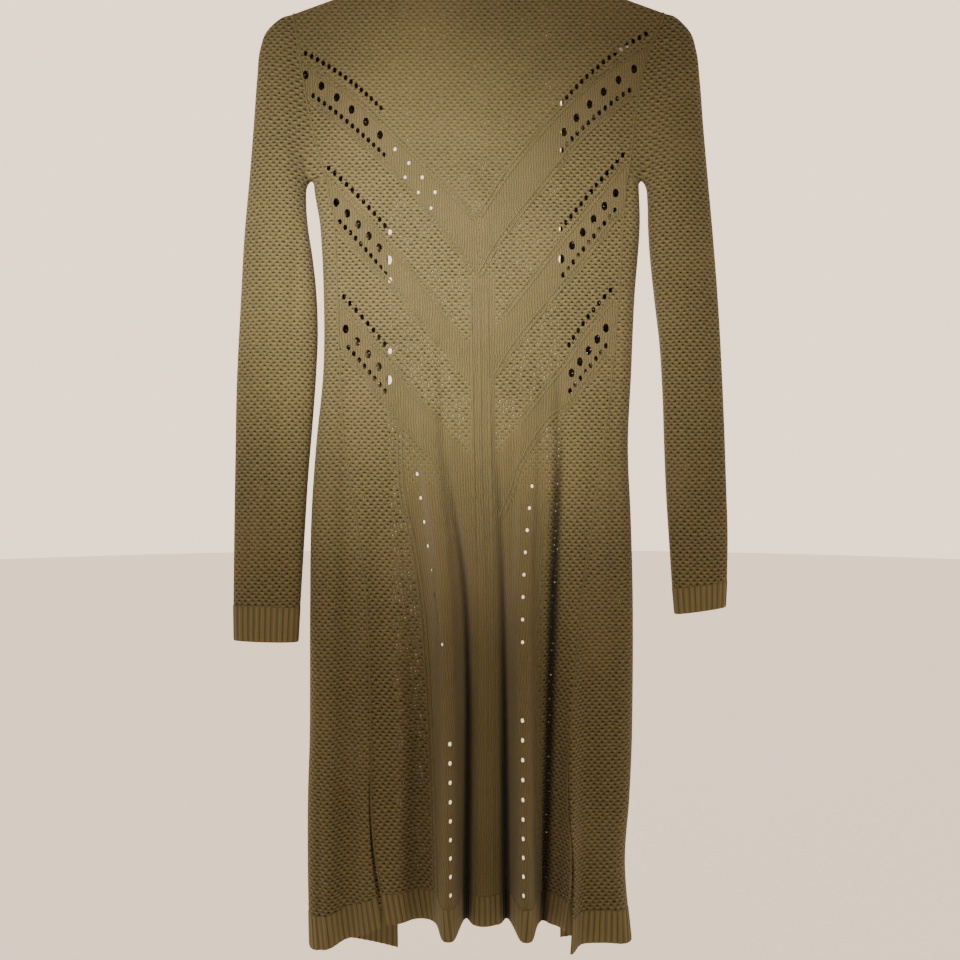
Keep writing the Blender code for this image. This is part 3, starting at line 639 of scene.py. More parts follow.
class Recipe:
    """The nodes of one finish."""

    def __init__(self, name):
        self.material = bpy.data.materials.new(name)
        self.material.use_nodes = True
        self.tree = self.material.node_tree
        self.shader = self.tree.nodes["Principled BSDF"]
        self.here = self.add("ShaderNodeTexCoord", output="Object")

    def add(self, kind, settings=None, sockets=None, output=0):
        """Add a node: settings first, then values or links. Returns one of its outputs."""
        node = self.tree.nodes.new(kind)
        for name, value in (settings or {}).items():
            if name == "stops":
                for element, (place, colour) in zip(node.color_ramp.elements, value):
                    element.position, element.color = place, (*colour, 1.0)
            else:
                setattr(node, name, value)
        self.feed(node, sockets or {})
        return Signal(self, node.outputs[output])

    def feed(self, node, sockets):
        for name, value in sockets.items():
            if isinstance(value, Signal):
                self.tree.links.new(value.socket, node.inputs[name])
            else:
                node.inputs[name].default_value = value

    def vector(self, operation, *values, output=0):
        return self.add("ShaderNodeVectorMath", {"operation": operation}, dict(enumerate(values)),
                        output)

    def scaled(self, vector, factor):
        return self.add("ShaderNodeVectorMath", {"operation": "SCALE"}, {0: vector, "Scale": factor})

    def parts(self, vector):
        first = self.add("ShaderNodeSeparateXYZ", {}, {0: vector})
        return [Signal(self, socket) for socket in first.socket.node.outputs]

    def blend(self, share, one, other):
        """Mix of two colours."""
        return self.add("ShaderNodeMix", {"data_type": "RGBA"}, {0: share, 6: one, 7: other}, 2)

    def noise(self, scale, detail=2.0, output="Fac"):
        sockets = {"Vector": self.here, "Scale": scale, "Detail": detail}
        return self.add("ShaderNodeTexNoise", {}, sockets, output)

    def layer(self, name):
        """One of the cloth's sets of coordinates."""
        return self.add("ShaderNodeUVMap", {"uv_map": name})

    def finish(self, colour, roughness, height, relief, constants):
        """Feed the shader and give the surface its relief in millimetres."""
        bump = self.add("ShaderNodeBump", {}, {"Height": height, "Distance": relief * MM,
                                               "Strength": 1.0})
        self.feed(self.shader, {"Base Color": colour, "Roughness": roughness, "Normal": bump})
        self.feed(self.shader, constants)
        return self.material


# %% [markdown]
# ## Dotted and plain knit
# The dot stitch is a tuck stitch: every few stitches one is held back, which leaves a small hole
# with a lump of yarn under it, and the next row of dots is offset by half a repeat. Two lattices of
# cells, half a step apart, give the distance to the nearest dot. In the smooth zones the plain
# knit shows its upright wales of small V shapes. The holes are true gaps in the yarn, so the
# finish is clear there and the light comes through. Deep in the narrow folds a painted shade
# darkens the yarn, because an even studio light would reach in further than the light of a room does.

# %% Knit finish
DOT_PITCH = 7.4
WALE = 2.7
COURSE = 2.2
# Yarn tones from dark to light. The ramp carries painted shade in the hollows and painted highlight on
# the crests of the stitches, as well as the yarn's own changes of tone.
YARN_LIGHT = (0.180, 0.149, 0.066, 1.0)
YARN_MID = (0.080, 0.071, 0.032, 1.0)
YARN_DARK = (0.010, 0.007, 0.002, 1.0)
YARN_WARM = (0.175, 0.128, 0.068, 1.0)
# Colour of the painted shade deep in the narrow folds.
FOLD_SHADE = (0.008, 0.006, 0.002, 1.0)
YARN_SHEEN = {"Sheen Weight": 0.12, "Sheen Roughness": 0.45, "Specular IOR Level": 0.25}


def dot_distance(recipe, place, shift):
    """Distance in mm from the nearest dot of the staggered lattice."""
    found = []
    for half in (0.0, 0.5):
        cells = recipe.scaled(recipe.vector("ADD", place, shift), 1 / DOT_PITCH)
        cells = recipe.vector("FRACTION", recipe.vector("ADD", cells, (half, half, 0)))
        offset = recipe.vector("SUBTRACT", cells, (0.5, 0.5, 0))
        offset = recipe.vector("MULTIPLY", offset, (0.85, 1.45, 0))
        found.append(recipe.vector("LENGTH", offset, output=1))
    return found[0].least(found[1]) * DOT_PITCH


def plain_height(across, along):
    """Height of plain knit: rounded wales with slanted legs."""
    side = ((across / WALE).fraction() - 0.5).size()
    wale = 1 - (side * side) * 4
    leg = (along / COURSE + side * 1.5).wave()
    return wale * 0.55 + leg * 0.45


def yarn_colour(recipe, shade, dark, light):
    """Olive yarn, rising with its shade from dark through middle to light."""
    low = recipe.blend(shade.rise(*dark), YARN_DARK, YARN_MID)
    return recipe.blend(shade.rise(*light), low, YARN_LIGHT)


def paint_fold_shade(recipe, colour):
    """Paint shade on the yarn deep in the folds: its colour turns darker there."""
    deep = recipe.parts(recipe.layer("folds"))[0]
    return recipe.blend(deep * 0.94, colour, FOLD_SHADE)


def knit_finish(name):
    """Olive knit with dots, plain zones and pinholes."""
    recipe = Recipe(name)
    cloth = recipe.layer("cloth")
    plain, calm, _ = recipe.parts(recipe.layer("zones"))
    wobble = recipe.vector("SUBTRACT", recipe.noise(95.0, 1.0, "Color"), (0.5, 0.5, 0.5))
    wobble = recipe.vector("MULTIPLY", wobble, (3.4, 3.0, 0.0))
    place = recipe.vector("ADD", cloth, wobble)
    across, along, _ = recipe.parts(place)
    hole = dot_distance(recipe, place, (0, 0, 0))
    lump = dot_distance(recipe, place, (0, 2.2, 0))
    uneven = recipe.noise(210.0, 1.0)
    strength = 1 - calm * 0.35
    dotted = hole.rise(0.5, 2.0) * 0.55 + (1 - lump.rise(0.5, 2.3)) * 0.45
    knit = plain_height(across, along)
    dotted = dotted * 0.82 + knit * 0.18
    dotted = dotted * (0.75 + uneven * 0.5)
    height = dotted * (1 - plain) + (knit * 0.95 + 0.18) * plain
    yarn = recipe.noise(900.0, 2.0)
    fuzz = recipe.noise(3200.0, 1.0)
    height = (height - 0.5) * strength + 0.5 + (yarn - 0.5) * 0.22
    broad = recipe.noise(7.0, 2.0)
    # The colour follows the relief: the hollows of the dots and wales get a painted shade, the crests
    # a painted highlight, and the noises add the yarn's own uneven tone.
    shade = height * 0.9 + (fuzz - 0.5) * 0.4 + (yarn - 0.5) * 0.25 + (broad - 0.5) * 0.30
    olive = yarn_colour(recipe, shade, (0.02, 0.42), (0.30, 0.95))
    warm = recipe.noise(11.0, 1.0).rise(0.40, 0.80) * 0.22
    colour = paint_fold_shade(recipe, recipe.blend(warm, olive, YARN_WARM))
    pin = (1 - hole.rise(0.35, 0.75)) * (1 - plain) * uneven.rise(0.35, 0.6)
    recipe.feed(recipe.shader, {"Alpha": 1 - pin})
    rough = 0.86 + (yarn - 0.5) * 0.12
    return recipe.finish(colour, rough, height, 1.5, YARN_SHEEN)


def rib_finish(name):
    """Ribbed knit: the ribs are in the mesh, the small stitches are here."""
    recipe = Recipe(name)
    cloth = recipe.layer("cloth")
    raised, _, _ = recipe.parts(recipe.layer("zones"))
    across, along, _ = recipe.parts(cloth)
    knit = plain_height(across, along)
    yarn = recipe.noise(900.0, 2.0)
    fuzz = recipe.noise(3200.0, 1.0)
    broad = recipe.noise(9.0, 2.0)
    height = knit * 0.8 + (yarn - 0.5) * 0.25
    # Raised ribs and stitch crests are painted lighter and the grooves darker, a painted highlight and
    # shade, with the yarn's own uneven tone on top.
    shade = 0.18 + raised * 0.42 + height * 0.4 + (fuzz - 0.5) * 0.3 + (broad - 0.5) * 0.2
    olive = paint_fold_shade(recipe, yarn_colour(recipe, shade, (0.0, 0.45), (0.3, 0.95)))
    rough = 0.86 + (yarn - 0.5) * 0.12
    return recipe.finish(olive, rough, height, 0.7, YARN_SHEEN)


def twist_finish(name):
    """A raised rib of twisted stitches."""
    recipe = Recipe(name)
    across, along, _ = recipe.parts(recipe.layer("cloth"))
    twist = (along / 2.6 + across * 0.35).wave()
    yarn = recipe.noise(1100.0, 2.0)
    height = twist * 0.7 + yarn * 0.3
    # The crests of the twist are painted lighter and its hollows darker, a painted highlight and
    # shade, with uneven tone from the noise.
    shade = height + (recipe.noise(7.0, 2.0) - 0.5) * 0.3
    olive = recipe.blend(shade.rise(0.15, 1.1), YARN_MID, YARN_LIGHT)
    rough = 0.84 + (yarn - 0.5) * 0.12
    return recipe.finish(olive, rough, height, 0.4, YARN_SHEEN)


dotted_knit = knit_finish("dotted_knit")
ribbed_knit = rib_finish("ribbed_knit")
twisted_rib = twist_finish("twisted_rib")
print("knit finishes ready")

# %% [markdown]
# ## The back
# The back is the piece that shows best. Its columns follow the folds, so that each narrow roll and
# valley has its own points, and its rows are as far apart as its columns. It could be a flat sheet
# dropped by a simulation, but then the folds would not fall where they do on the real one.

# %% Back cloth
def spread(columns, counts):
    """More places between a row's main columns."""
    places = [columns[..., :1]]
    for j, count in enumerate(counts):
        t = np.arange(1, count + 1) / count
        gap = columns[..., j + 1:j + 2] - columns[..., j:j + 1]
        places.append(columns[..., j:j + 1] + gap * t)
    return np.concatenate(places, axis=-1)


def column_counts(heights):
    """How many steps each gap between main columns needs."""
    most = None
    for height in heights:
        fine = spread(back_places(height), [12] * (len(BACK_COLUMNS) + LEFT_STRIPS + RIGHT_STRIPS - 1))
        steps = np.linalg.norm(np.diff(back_point(fine, height), axis=0), axis=1)
        lengths = steps.reshape(-1, 12).sum(axis=1)
        most = lengths if most is None else np.maximum(most, lengths)
    return np.maximum(1, np.ceil(most / GRAIN).astype(int))


def back_grid():
    """Outer points of the back from the shoulders to the ribbed hem."""
    counts = column_counts((-240, -500, -640, -815, -1000, BODY_END))
    top_x = spread(back_places(-120.0), counts)
    first_x = spread(back_places(LEAVES_ARM), counts)
    rows = [shoulder_point(top_x, share, -1) for share in np.linspace(0, 1, 6)]
    leaving = rows[-1]
    first = back_point(first_x, LEAVES_ARM)
    rows += [leaving + (first - leaving) * t for t in np.linspace(0, 1, 12)[1:-1]]
    for height in np.linspace(LEAVES_ARM, BODY_END, int((BODY_END - LEAVES_ARM) / -GRAIN) + 1):
        rows.append(back_point(spread(back_places(height), counts), height))
    return np.array(rows)


def back_cloth():
    points = back_grid()
    middle = int(np.argmin(np.abs(points[20, :, 0])))
    across = along_rows(points, middle)
    cloth = np.stack([across, points[..., 2]], -1)
    x, z = points[..., 0], points[..., 2]
    zones = np.stack([smooth_share(x, z), yoke_share(x, z)], -1)
    return cloth_shell("back_cloth", [(points, cloth, zones, False)], False, dotted_knit)


back = back_cloth()

# %% [markdown]
# ## Eyelets
# Lace is knitted with real holes. On this back they run in rows: large ones down the middle of
# each band between two rows of small ones, then down the two columns below. Paint would look flat
# and let no light through, so each one is cut from the cloth by an oval pin.

# %% Rows of eyelets
EYELET_SIZES = {
    "top": (4.3, 6.4, 1.0), "big": (6.6, 10.0, 1.0), "low": (4.3, 6.4, 1.0), "on": (4.6, 6.6, 0.74),
    "in": (4.3, 5.6, 0.74), "fall": (4.2, 5.4, 0.74), "drop": (4.6, 6.6, 0.74)}
EYELETS = table(
    "name          x0      z0      x1      z1      x2      z2      number",
    ("left_1_top",  -190,   -212,   -141.6, -242.3, -107.8, -272,   15),
    ("left_1_big",  -190,   -235.5, -140.4, -273.1, -108.7, -301.9, 6),
    ("left_1_low",  -182,   -258,   -141.4, -289.7, -104.3, -323.9, 14),
    ("left_1_on",   -92.4,  -317.3, -62.9,  -348.2, -48.8,  -364.6, 4),
    ("left_1_in",   -81.4,  -348.2, -66.2,  -365.7, -53.1,  -382.1, 3),
    ("left_2_top",  -164,   -338.5, -129,   -372.3, -97.5,  -408.4, 12),
    ("left_2_big",  -156,   -376,   -122.4, -410.6, -98.5,  -438.9, 6),
    ("left_2_low",  -152,   -397,   -132.1, -418.2, -97.3,  -460.7, 11),
    ("left_3_top",  -147,   -479,   -113.4, -517.2, -97.2,  -537.7, 9),
    ("left_3_big",  -145,   -514,   -117.7, -544.8, -98.2,  -569.1, 5),
    ("left_3_low",  -142,   -534,   -128.5, -549.6, -102.5, -581,   8),
    ("right_1_top", 181,    -190.8, 130.8,  -224.7, 89.3,   -266.5, 16),
    ("right_1_big", 168,    -229,   120.9,  -266.5, 91.3,   -298.6, 6),
    ("right_1_low", 163,    -252,   118.6,  -287.5, 89.1,   -318.4, 13),
    ("right_2_top", 155,    -324,   124.8,  -359.2, 87.7,   -405.1, 13),
    ("right_2_big", 147,    -366,   111.6,  -408.4, 88.2,   -437.8, 6),
    ("right_2_low", 146,    -385,   119.1,  -418.2, 89.8,   -455.3, 11),
    ("right_3_top", 141,    -472,   110.2,  -509.6, 96.1,   -531.2, 9),
    ("right_3_big", 136,    -513,   117.7,  -536.6, 98.7,   -561.5, 5),
    ("right_3_low", 136,    -532,   108.5,  -567,   97,     -581,   8),
    ("left_fall",   -67.9,  -670.5, -54.8,  -759.8, -40.5,  -851,   8),
    ("left_drop",   -31.5,  -953.8, -30.5,  -1041,  -30,    -1112,  9),
    ("right_fall",  56,     -683.5, 48,     -759.8, 45,     -848.8, 8),
    ("right_drop",  44.5,   -930,   44.5,   -1016,  44.5,   -1112,  10))


def eyelet_places(row):
    """Even steps along a gently curved row through its first, middle and last place."""
    start, mid, end = ((row["x" + k], row["z" + k]) for k in "012")
    share = math.dist(start, mid) / (math.dist(start, mid) + math.dist(mid, end))
    for k in range(row["number"]):
        t = k / (row["number"] - 1)
        weights = ((t - share) * (t - 1) / share,
                   t * (t - 1) / (share * (share - 1)),
                   t * (t - share) / (1 - share))
        yield [sum(w * p[axis] for w, p in zip(weights, (start, mid, end))) for axis in (0, 1)]


def eyelet_frames():
    """Centre, outward, sideways and upward directions and half sizes of every eyelet."""
    for row in EYELETS:
        width, height, drawn = EYELET_SIZES[row["name"].split("_")[-1]]
        for x, z in eyelet_places(row):
            normal = Vector(back_normal(x, z))
            across = Vector((0, 0, 1)).cross(normal).normalized()
            yield (Vector(back_point(x, z)), normal, across, normal.cross(across),
                   width / 2 * drawn, height / 2 * drawn)


def pierce(piece):
    """Cut every eyelet through a cloth."""
    form = bmesh.new()
    for centre, normal, across, upward, wide, high in eyelet_frames():
        pin = bmesh.ops.create_cone(form, cap_ends=True, segments=10, radius1=1, radius2=1,
                                    depth=1)["verts"]
        for vert in pin:
            u, v, w = vert.co
            vert.co = (centre + across * u * wide + upward * v * high + normal * (w * 7 - 0.7)) * MM
    pins = placed("pins", mesh_from(form, "pins"))
    cut = piece.modifiers.new("eyelets", "BOOLEAN")
    cut.operation = "DIFFERENCE"
    cut.object = pins
    settle(piece)
    bpy.data.objects.remove(pins)


pierce(back)

# %% [markdown]
# ## The fronts
# Each front is one piece that starts at the side seam on the back, turns round the side and hangs
# behind, open down the middle. Over the underarm only its flat part is there. The two parts of
# its grid share the row at the underarm and are welded there.

# %% Front cloths
def front_cloth(side):
    sign = -1.0 if side == "left" else 1.0
    heights = np.linspace(UNDERARM, BODY_END, int((BODY_END - UNDERARM) / -5.0) + 1)
    turned, flat = np.linspace(0, 2, 37), np.linspace(2, 3, 21)
    runs = np.concatenate([turned, flat[1:]])
    lower = front_point(side, runs[None, :], heights[:, None])
    low_u = along_rows(lower, 36)
    top_hold, top_free = float(level(ARMHOLE, side, 0.0)), sign * NECK_HALF
    top_x = top_hold + (top_free - top_hold) * (flat - 2)
    rows = [shoulder_point(top_x, share, 1) for share in np.linspace(0, 1, 6)]
    leaving = rows[-1]
    heights_up = np.linspace(LEAVES_ARM, UNDERARM, 31)
    upper = []
    for height in heights_up[:-1]:
        hold, free = float(level(ARMHOLE, side, height)), float(level(SIDES, side + "_free", height))
        x = hold + (free - hold) * (flat - 2)
        y = front_depth(x, height) - crease("front", x, height)
        upper.append(np.stack([x, y, np.full_like(x, height)], -1))
    rows += [leaving + (upper[0] - leaving) * t for t in np.linspace(0, 1, 9)[1:-1]]
    top = np.array(rows + upper + [lower[0, 36:]])
    patches = []
    for points, u in ((top, sign * (lower[0, 36, 0] - top[..., 0])), (lower, low_u)):
        zones = np.zeros(points.shape[:2] + (2,))
        zones[..., 1] = 0.3
        patches.append((points, np.stack([u, points[..., 2]], -1), zones, False))
    return cloth_shell("front_cloth_" + side, patches, side == "left", dotted_knit)


fronts = {side: front_cloth(side) for side in ("left", "right")}

# %% [markdown]
# ## The sleeves
# A sleeve is a long tube, flattened by its own weight, joined to the body round the armhole. It
# is made as oval rings from the armhole to the cuff, joined by a smooth curve down each column.
# The part near the armhole takes its first ring from the body, so both edges lie side by side.

# %% Sections of the sleeves
SLEEVES = {
    "left": table(
        "outer_x outer_z inner_x inner_z middle half",
        (-218,   -171.5, -186,   -350,   -1,    12.5),
        (-232,   -185,   -190,   -357,   -2,    15),
        (-239.5, -205,   -190.5, -374,   -3,    17),
        (-243,   -240,   -188.5, -400,   -4,    18.5),
        (-246,   -285,   -183.5, -432,   -5,    19),
        (-250.5, -345,   -179,   -470,   -6,    19),
        (-256,   -410,   -177,   -515,   -7,    19),
        (-260,   -485,   -178.5, -560,   -8,    18),
        (-264,   -570,   -182,   -612,   -9,    17),
        (-265.5, -660,   -187,   -675,   -10,   16),
        (-266.5, -740,   -191,   -744,   -11,   15),
        (-267,   -812,   -195,   -814,   -12,   14),
        (-266.5, -850,   -197,   -852,   -12,   13.5)),
    "right": table(
        "outer_x outer_z inner_x inner_z middle half",
        (216,    -171.5, 178.5,  -350,   -1,    12.5),
        (229,    -186,   182,    -357,   -2,    15),
        (236,    -208,   183.5,  -374,   -3,    17),
        (239.5,  -240,   184,    -400,   -4,    18.5),
        (243,    -290,   186,    -435,   -5,    19),
        (247.5,  -345,   190.5,  -480,   -6,    19),
        (253.5,  -415,   196,    -530,   -7,    18),
        (259,    -490,   199,    -585,   -8,    17),
        (264,    -590,   200.5,  -640,   -9,    16),
        (267,    -680,   203,    -703,   -10,   15),
        (268.5,  -740,   206,    -752,   -11,   14),
        (267.5,  -786,   208.5,  -794,   -12,   13),
        (266,    -814,   211,    -822,   -12,   12.5))}


def sleeve_ring(row, angles):
    """One oval section of a sleeve."""
    outer = np.array([row["outer_x"], 0, row["outer_z"]])
    inner = np.array([row["inner_x"], 0, row["inner_z"]])
    middle = (outer + inner) / 2 + np.array([0, row["middle"], 0])
    swing = np.sin(angles)
    y = -np.sign(swing) * np.abs(swing) ** 0.7 * row["half"]
    ring = middle + (outer - inner) / 2 * np.cos(angles)[:, None]
    ring[:, 1] += y
    return ring


def armhole_path(side):
    """Edge of the armhole, from the shoulder down the back and up the front."""
    sign = -1.0 if side == "left" else 1.0
    out, up = np.array([sign * SEAM_GAP, 0, 0]), np.array([0, 0, SEAM_GAP])
    hold = np.array([float(level(ARMHOLE, side, 0.0))])
    wrap = [shoulder_point(hold, share, -1)[0] for share in np.linspace(0, 1, 7)]
    wrap_front = [shoulder_point(hold, share, 1)[0] for share in np.linspace(1, 0, 7)]
    heights = np.linspace(LEAVES_ARM, UNDERARM, 30)
    down = [back_point(level(ARMHOLE, side, h), h) for h in heights]
    under = [front_point(side, run, UNDERARM) for run in np.linspace(1.1, 1.9, 9)]
    rise = []
    for h in heights[::-1]:
        x = float(level(ARMHOLE, side, h))
        rise.append(np.array([x, float(front_depth(x, h)), h]))
    path = [p + out for p in wrap[1:] + down] + [p + up for p in under]
    path += [p + out for p in rise + wrap_front[:-1]]
    return np.array(path)


def ring_at_angles(path, angles):
    """Spread a closed path over angles, with its lowest point at half a turn."""
    closed = np.vstack([path, path[:1]])
    lengths = run_lengths(closed)
    low = lengths[int(np.argmin(path[:, 2] + np.abs(path[:, 1]) * 0.1))]
    natural = np.where(lengths <= low, np.pi * lengths / low,
                       np.pi * (1 + (lengths - low) / (lengths[-1] - low)))
    turn = np.mod(angles, 2 * np.pi)
    return np.stack([np.interp(turn, natural, closed[:, k]) for k in range(3)], -1)


def smooth_stack(rings, step):
    """Smooth curves down the columns of a stack of rings."""
    rings = np.array(rings)
    gaps = np.linalg.norm(np.diff(rings, axis=0), axis=2).mean(axis=1)
    places = np.concatenate([[0], np.cumsum(gaps)])
    fine = np.linspace(0, places[-1], int(places[-1] / step) + 1)
    slopes = np.gradient(rings, places, axis=0)
    i = np.clip(np.searchsorted(places, fine, side="right") - 1, 0, len(places) - 2)
    span = (places[i + 1] - places[i])[:, None, None]
    t = (fine - places[i])[:, None, None] / span
    return cubic(t, span, rings[i], rings[i + 1], slopes[i], slopes[i + 1]), fine


def sleeve_cloth(side):
    angles = np.linspace(-np.pi, np.pi, 73)
    rings = [ring_at_angles(armhole_path(side), angles)]
    rings += [sleeve_ring(row, angles) for row in SLEEVES[side][:-1]]
    points, places = smooth_stack(rings, 4.2)
    fade = ease(places, 20, 70)[:, None]
    swing = np.sin(angles)[None, :]
    behind = crease("sleeve_back", points[..., 0], points[..., 2]) * ease(swing, 0, 0.5)
    before = crease("sleeve_front", points[..., 0], points[..., 2]) * ease(-swing, 0, 0.5)
    points[..., 1] += (behind - before) * fade
    sign = -1.0 if side == "left" else 1.0
    across = along_rows(points, 36)
    outward = sign * (points[:, 36:37, 0] - points[-1, 36, 0])
    patches = []
    for half, facing in ((slice(0, 37), -1.0), (slice(36, 73), 1.0)):
        cloth = np.stack([across[:, half] - facing * outward, points[:, half, 2]], -1)
        patches.append((points[:, half], cloth, np.zeros(cloth.shape), False))
    return cloth_shell("sleeve_cloth_" + side, patches, side == "right", dotted_knit)


sleeves = {side: sleeve_cloth(side) for side in ("left", "right")}

# %% [markdown]
# ## Ribbed hems and cuffs
# Ribbing is columns of plain knit that stand up between columns that sink back. It keeps its
# relief when the cloth hangs, so the ribs are in the mesh, rounded, with eight steps to a rib, and
# as many of them as the length of the edge gives.

# %% Ribbed strips
RIB_STEPS = 8


def ribbed_strip(name, top, bottom, flip, ring):
    """Rounded ribs between an upper and a lower edge."""
    ribs = round(even_steps(top, 1)[1] / RIB_PITCH)
    count = ribs * RIB_STEPS
    upper, lower = even_steps(top, count)[0], even_steps(bottom, count)[0]
    shares = np.linspace(0, 1, 12)[:, None, None]
    points = upper + (lower - upper) * shares
    side = np.roll(points, -1, axis=1) - np.roll(points, 1, axis=1)
    if ring:
        side[:, 0] = side[:, -1] = points[:, 1] - points[:, -2]
    else:
        side[:, 0], side[:, -1] = points[:, 1] - points[:, 0], points[:, -1] - points[:, -2]
    down = (lower - upper)[None, :] + 0 * points
    normal = np.cross(down, side)
    normal *= -1 if flip else 1
    normal /= np.linalg.norm(normal, axis=2, keepdims=True)
    phase = np.arange(count + 1) / RIB_STEPS
    raised = np.abs(np.sin(np.pi * phase)) ** 0.7
    edge = 1 - 0.35 * ease(shares[:, :, 0], 0.93, 1.0)
    points = points + normal * ((raised * edge - 0.5) * RIB_RAISE)[..., None]
    u = np.broadcast_to(phase * RIB_PITCH, points.shape[:2])
    cloth = np.stack([u, np.broadcast_to(shares[:, :, 0] * -HEM_RIB, points.shape[:2])], -1)
    zones = np.zeros(points.shape[:2] + (2,))
    # The rib profile also goes to the finish, which paints the grooves darker as painted shade.
    zones[..., 0] = raised
    print(name, "has", ribs, "ribs")
    return cloth_shell(name, [(points, cloth, zones, ring)], flip, ribbed_knit)


def hem_of_back():
    rows = []
    for height in (HEM_LEVEL + HEM_RIB, HEM_LEVEL):
        left = float(seam_line("left", height)) + float(vent(height))
        right = float(seam_line("right", height)) - float(vent(height))
        rows.append(back_point(np.linspace(left, right, 600), height))
    return ribbed_strip("hem_rib_back", rows[0], rows[1], False, False)


def hem_of_front(side):
    rows = [front_point(side, np.linspace(0, 3, 500), height)
            for height in (HEM_LEVEL + HEM_RIB, HEM_LEVEL)]
    return ribbed_strip("hem_rib_front_" + side, rows[0], rows[1], side == "left", False)


def cuff(side):
    angles = np.linspace(0, 2 * np.pi, 400)
    top, bottom = (sleeve_ring(row, angles) for row in SLEEVES[side][-2:])
    drop = (bottom - top).mean(axis=0)
    top = top + drop / np.linalg.norm(drop) * SEAM_GAP
    return ribbed_strip("cuff_rib_" + side, top, bottom, side == "right", True)


hem_back = hem_of_back()
hem_fronts = {side: hem_of_front(side) for side in ("left", "right")}
cuffs = {side: cuff(side) for side in ("left", "right")}

# %% [markdown]
# ## Raised ribs, seams and edges
# The lace bands are framed by pairs of twisted ribs about as thick as two strands of yarn, and the
# seams and free edges stand up a little too. Each is a half-round cord laid on the cloth, pulsing
# once a stitch. A bump would vanish in the outline and at a low angle, and a cord doesn't.

# %% Cords laid on the cloth
CORD_SIDES = 6


def cord_mesh(form, layer, centres, normals, width, raise_by, beat=2.6):
    """One half-round cord along points on a cloth."""
    centres, normals = np.asarray(centres, float), np.asarray(normals, float)
    tangent = np.gradient(centres, axis=0)
    tangent /= np.linalg.norm(tangent, axis=1, keepdims=True)
    side = np.cross(normals, tangent)
    side /= np.linalg.norm(side, axis=1, keepdims=True)
    lengths = run_lengths(centres)
    pulse = 1 + 0.16 * np.sin(2 * np.pi * lengths / beat)
    taper = np.minimum(1, np.minimum(lengths, lengths[-1] - lengths) / 3 + 0.25)
    rings = []
    for centre, out, across, size in zip(centres, normals, side, pulse * taper):
        ring = []
        for k in range(CORD_SIDES):
            angle = 2 * np.pi * k / CORD_SIDES
            lift = max(np.sin(angle), -0.45) * raise_by
            ring.append(form.verts.new((centre + across * np.cos(angle) * width / 2 * size
                                        + out * lift * size) * MM))
        rings.append(ring)
    for i, (ring, after) in enumerate(zip(rings, rings[1:])):
        for k in range(CORD_SIDES):
            m = (k + 1) % CORD_SIDES
            face = form.faces.new((ring[k], ring[m], after[m], after[k]))
            face.smooth = True
            for loop, (a, b) in zip(face.loops, ((k, i), (k + 1, i), (k + 1, i + 1), (k, i + 1))):
                loop[layer].uv = (a, lengths[b])
    form.faces.new(rings[0][::-1])
    form.faces.new(rings[-1])


def cords(name, runs, finish):
    """Join several cords in one piece. Each run is centres, normals, width and height."""
    form = bmesh.new()
    layer = form.loops.layers.uv.new("cloth")
    for centres, normals, width, raise_by in runs:
        cord_mesh(form, layer, centres, normals, width, raise_by)
    bmesh.ops.recalc_face_normals(form, faces=form.faces)
    mesh = mesh_from(form, name, finish)
    print(f"{name}: {len(runs)} cords, {sum(len(f.vertices) - 2 for f in mesh.polygons)} triangles")
    return placed(name, mesh)


# %% Ribs that frame the lace
PAIR_GAP = 4.6
RIB_WIDTH = 2.1
RIB_LIFT = 0.95


def on_back(line, shift):
    """Points and normals on the back along a line, moved sideways by shift."""
    tangent = np.gradient(line, axis=0)
    tangent /= np.linalg.norm(tangent, axis=1, keepdims=True)
    moved = line + np.stack([-tangent[:, 1], tangent[:, 0]], -1) * shift
    low, high = seam_line("left", moved[:, 1]) + 2, seam_line("right", moved[:, 1]) - 2
    keep = (moved[:, 0] > low) & (moved[:, 0] < high)
    moved = moved[keep]
    return back_point(moved[:, 0], moved[:, 1]), back_normal(moved[:, 0], moved[:, 1])


def lace_ribs():
    runs = []
    for points in BAND_LINES.values():
        for shift in (-PAIR_GAP / 2, PAIR_GAP / 2):
            centres, normals = on_back(smooth_line(points, 1.5), shift)
            runs.append((centres, normals, RIB_WIDTH, RIB_LIFT))
    for name, points in UPRIGHT_LINES.items():
        shifts = (-PAIR_GAP / 2, PAIR_GAP / 2) if name.startswith("edge") else (0.0,)
        lift = 0.6 * RIB_LIFT if name.endswith("faint") else RIB_LIFT
        for shift in shifts:
            centres, normals = on_back(smooth_line(points, 1.5), shift)
            runs.append((centres, normals, RIB_WIDTH, lift))
    return cords("lace_ribs", runs, twisted_rib)


ribs = lace_ribs()

# %% Seams and free edges
SEAM_WIDTH = 2.4
SEAM_LIFT = 0.9
SEAM_STEP = 1.6
FREE_RUN = 2.985


def seam_runs():
    """The armhole seams and the side seams."""
    runs = []
    for side in ("left", "right"):
        path = armhole_path(side)
        path, _ = even_steps(path, int(run_lengths(path)[-1] / SEAM_STEP) - 1)
        out = np.where(path[:, 1:2] < 0, -1.0, 1.0) * np.array([[0, 1.0, 0]])
        blend = np.clip(np.abs(path[:, 1]) / 6.5, 0, 1)[:, None]
        top = np.where(path[:, 2:3] > -250, 1.0, -1.0) * np.array([[0, 0, 1.0]])
        out = out * blend + top * (1 - blend)
        out /= np.linalg.norm(out, axis=1, keepdims=True)
        runs.append((path, out, SEAM_WIDTH, SEAM_LIFT))
        heights = np.linspace(UNDERARM - 2, VENT_TOP, 380)
        seam = seam_line(side, heights)
        runs.append((back_point(seam, heights), back_normal(seam, heights), 1.5, 0.45))
    return runs


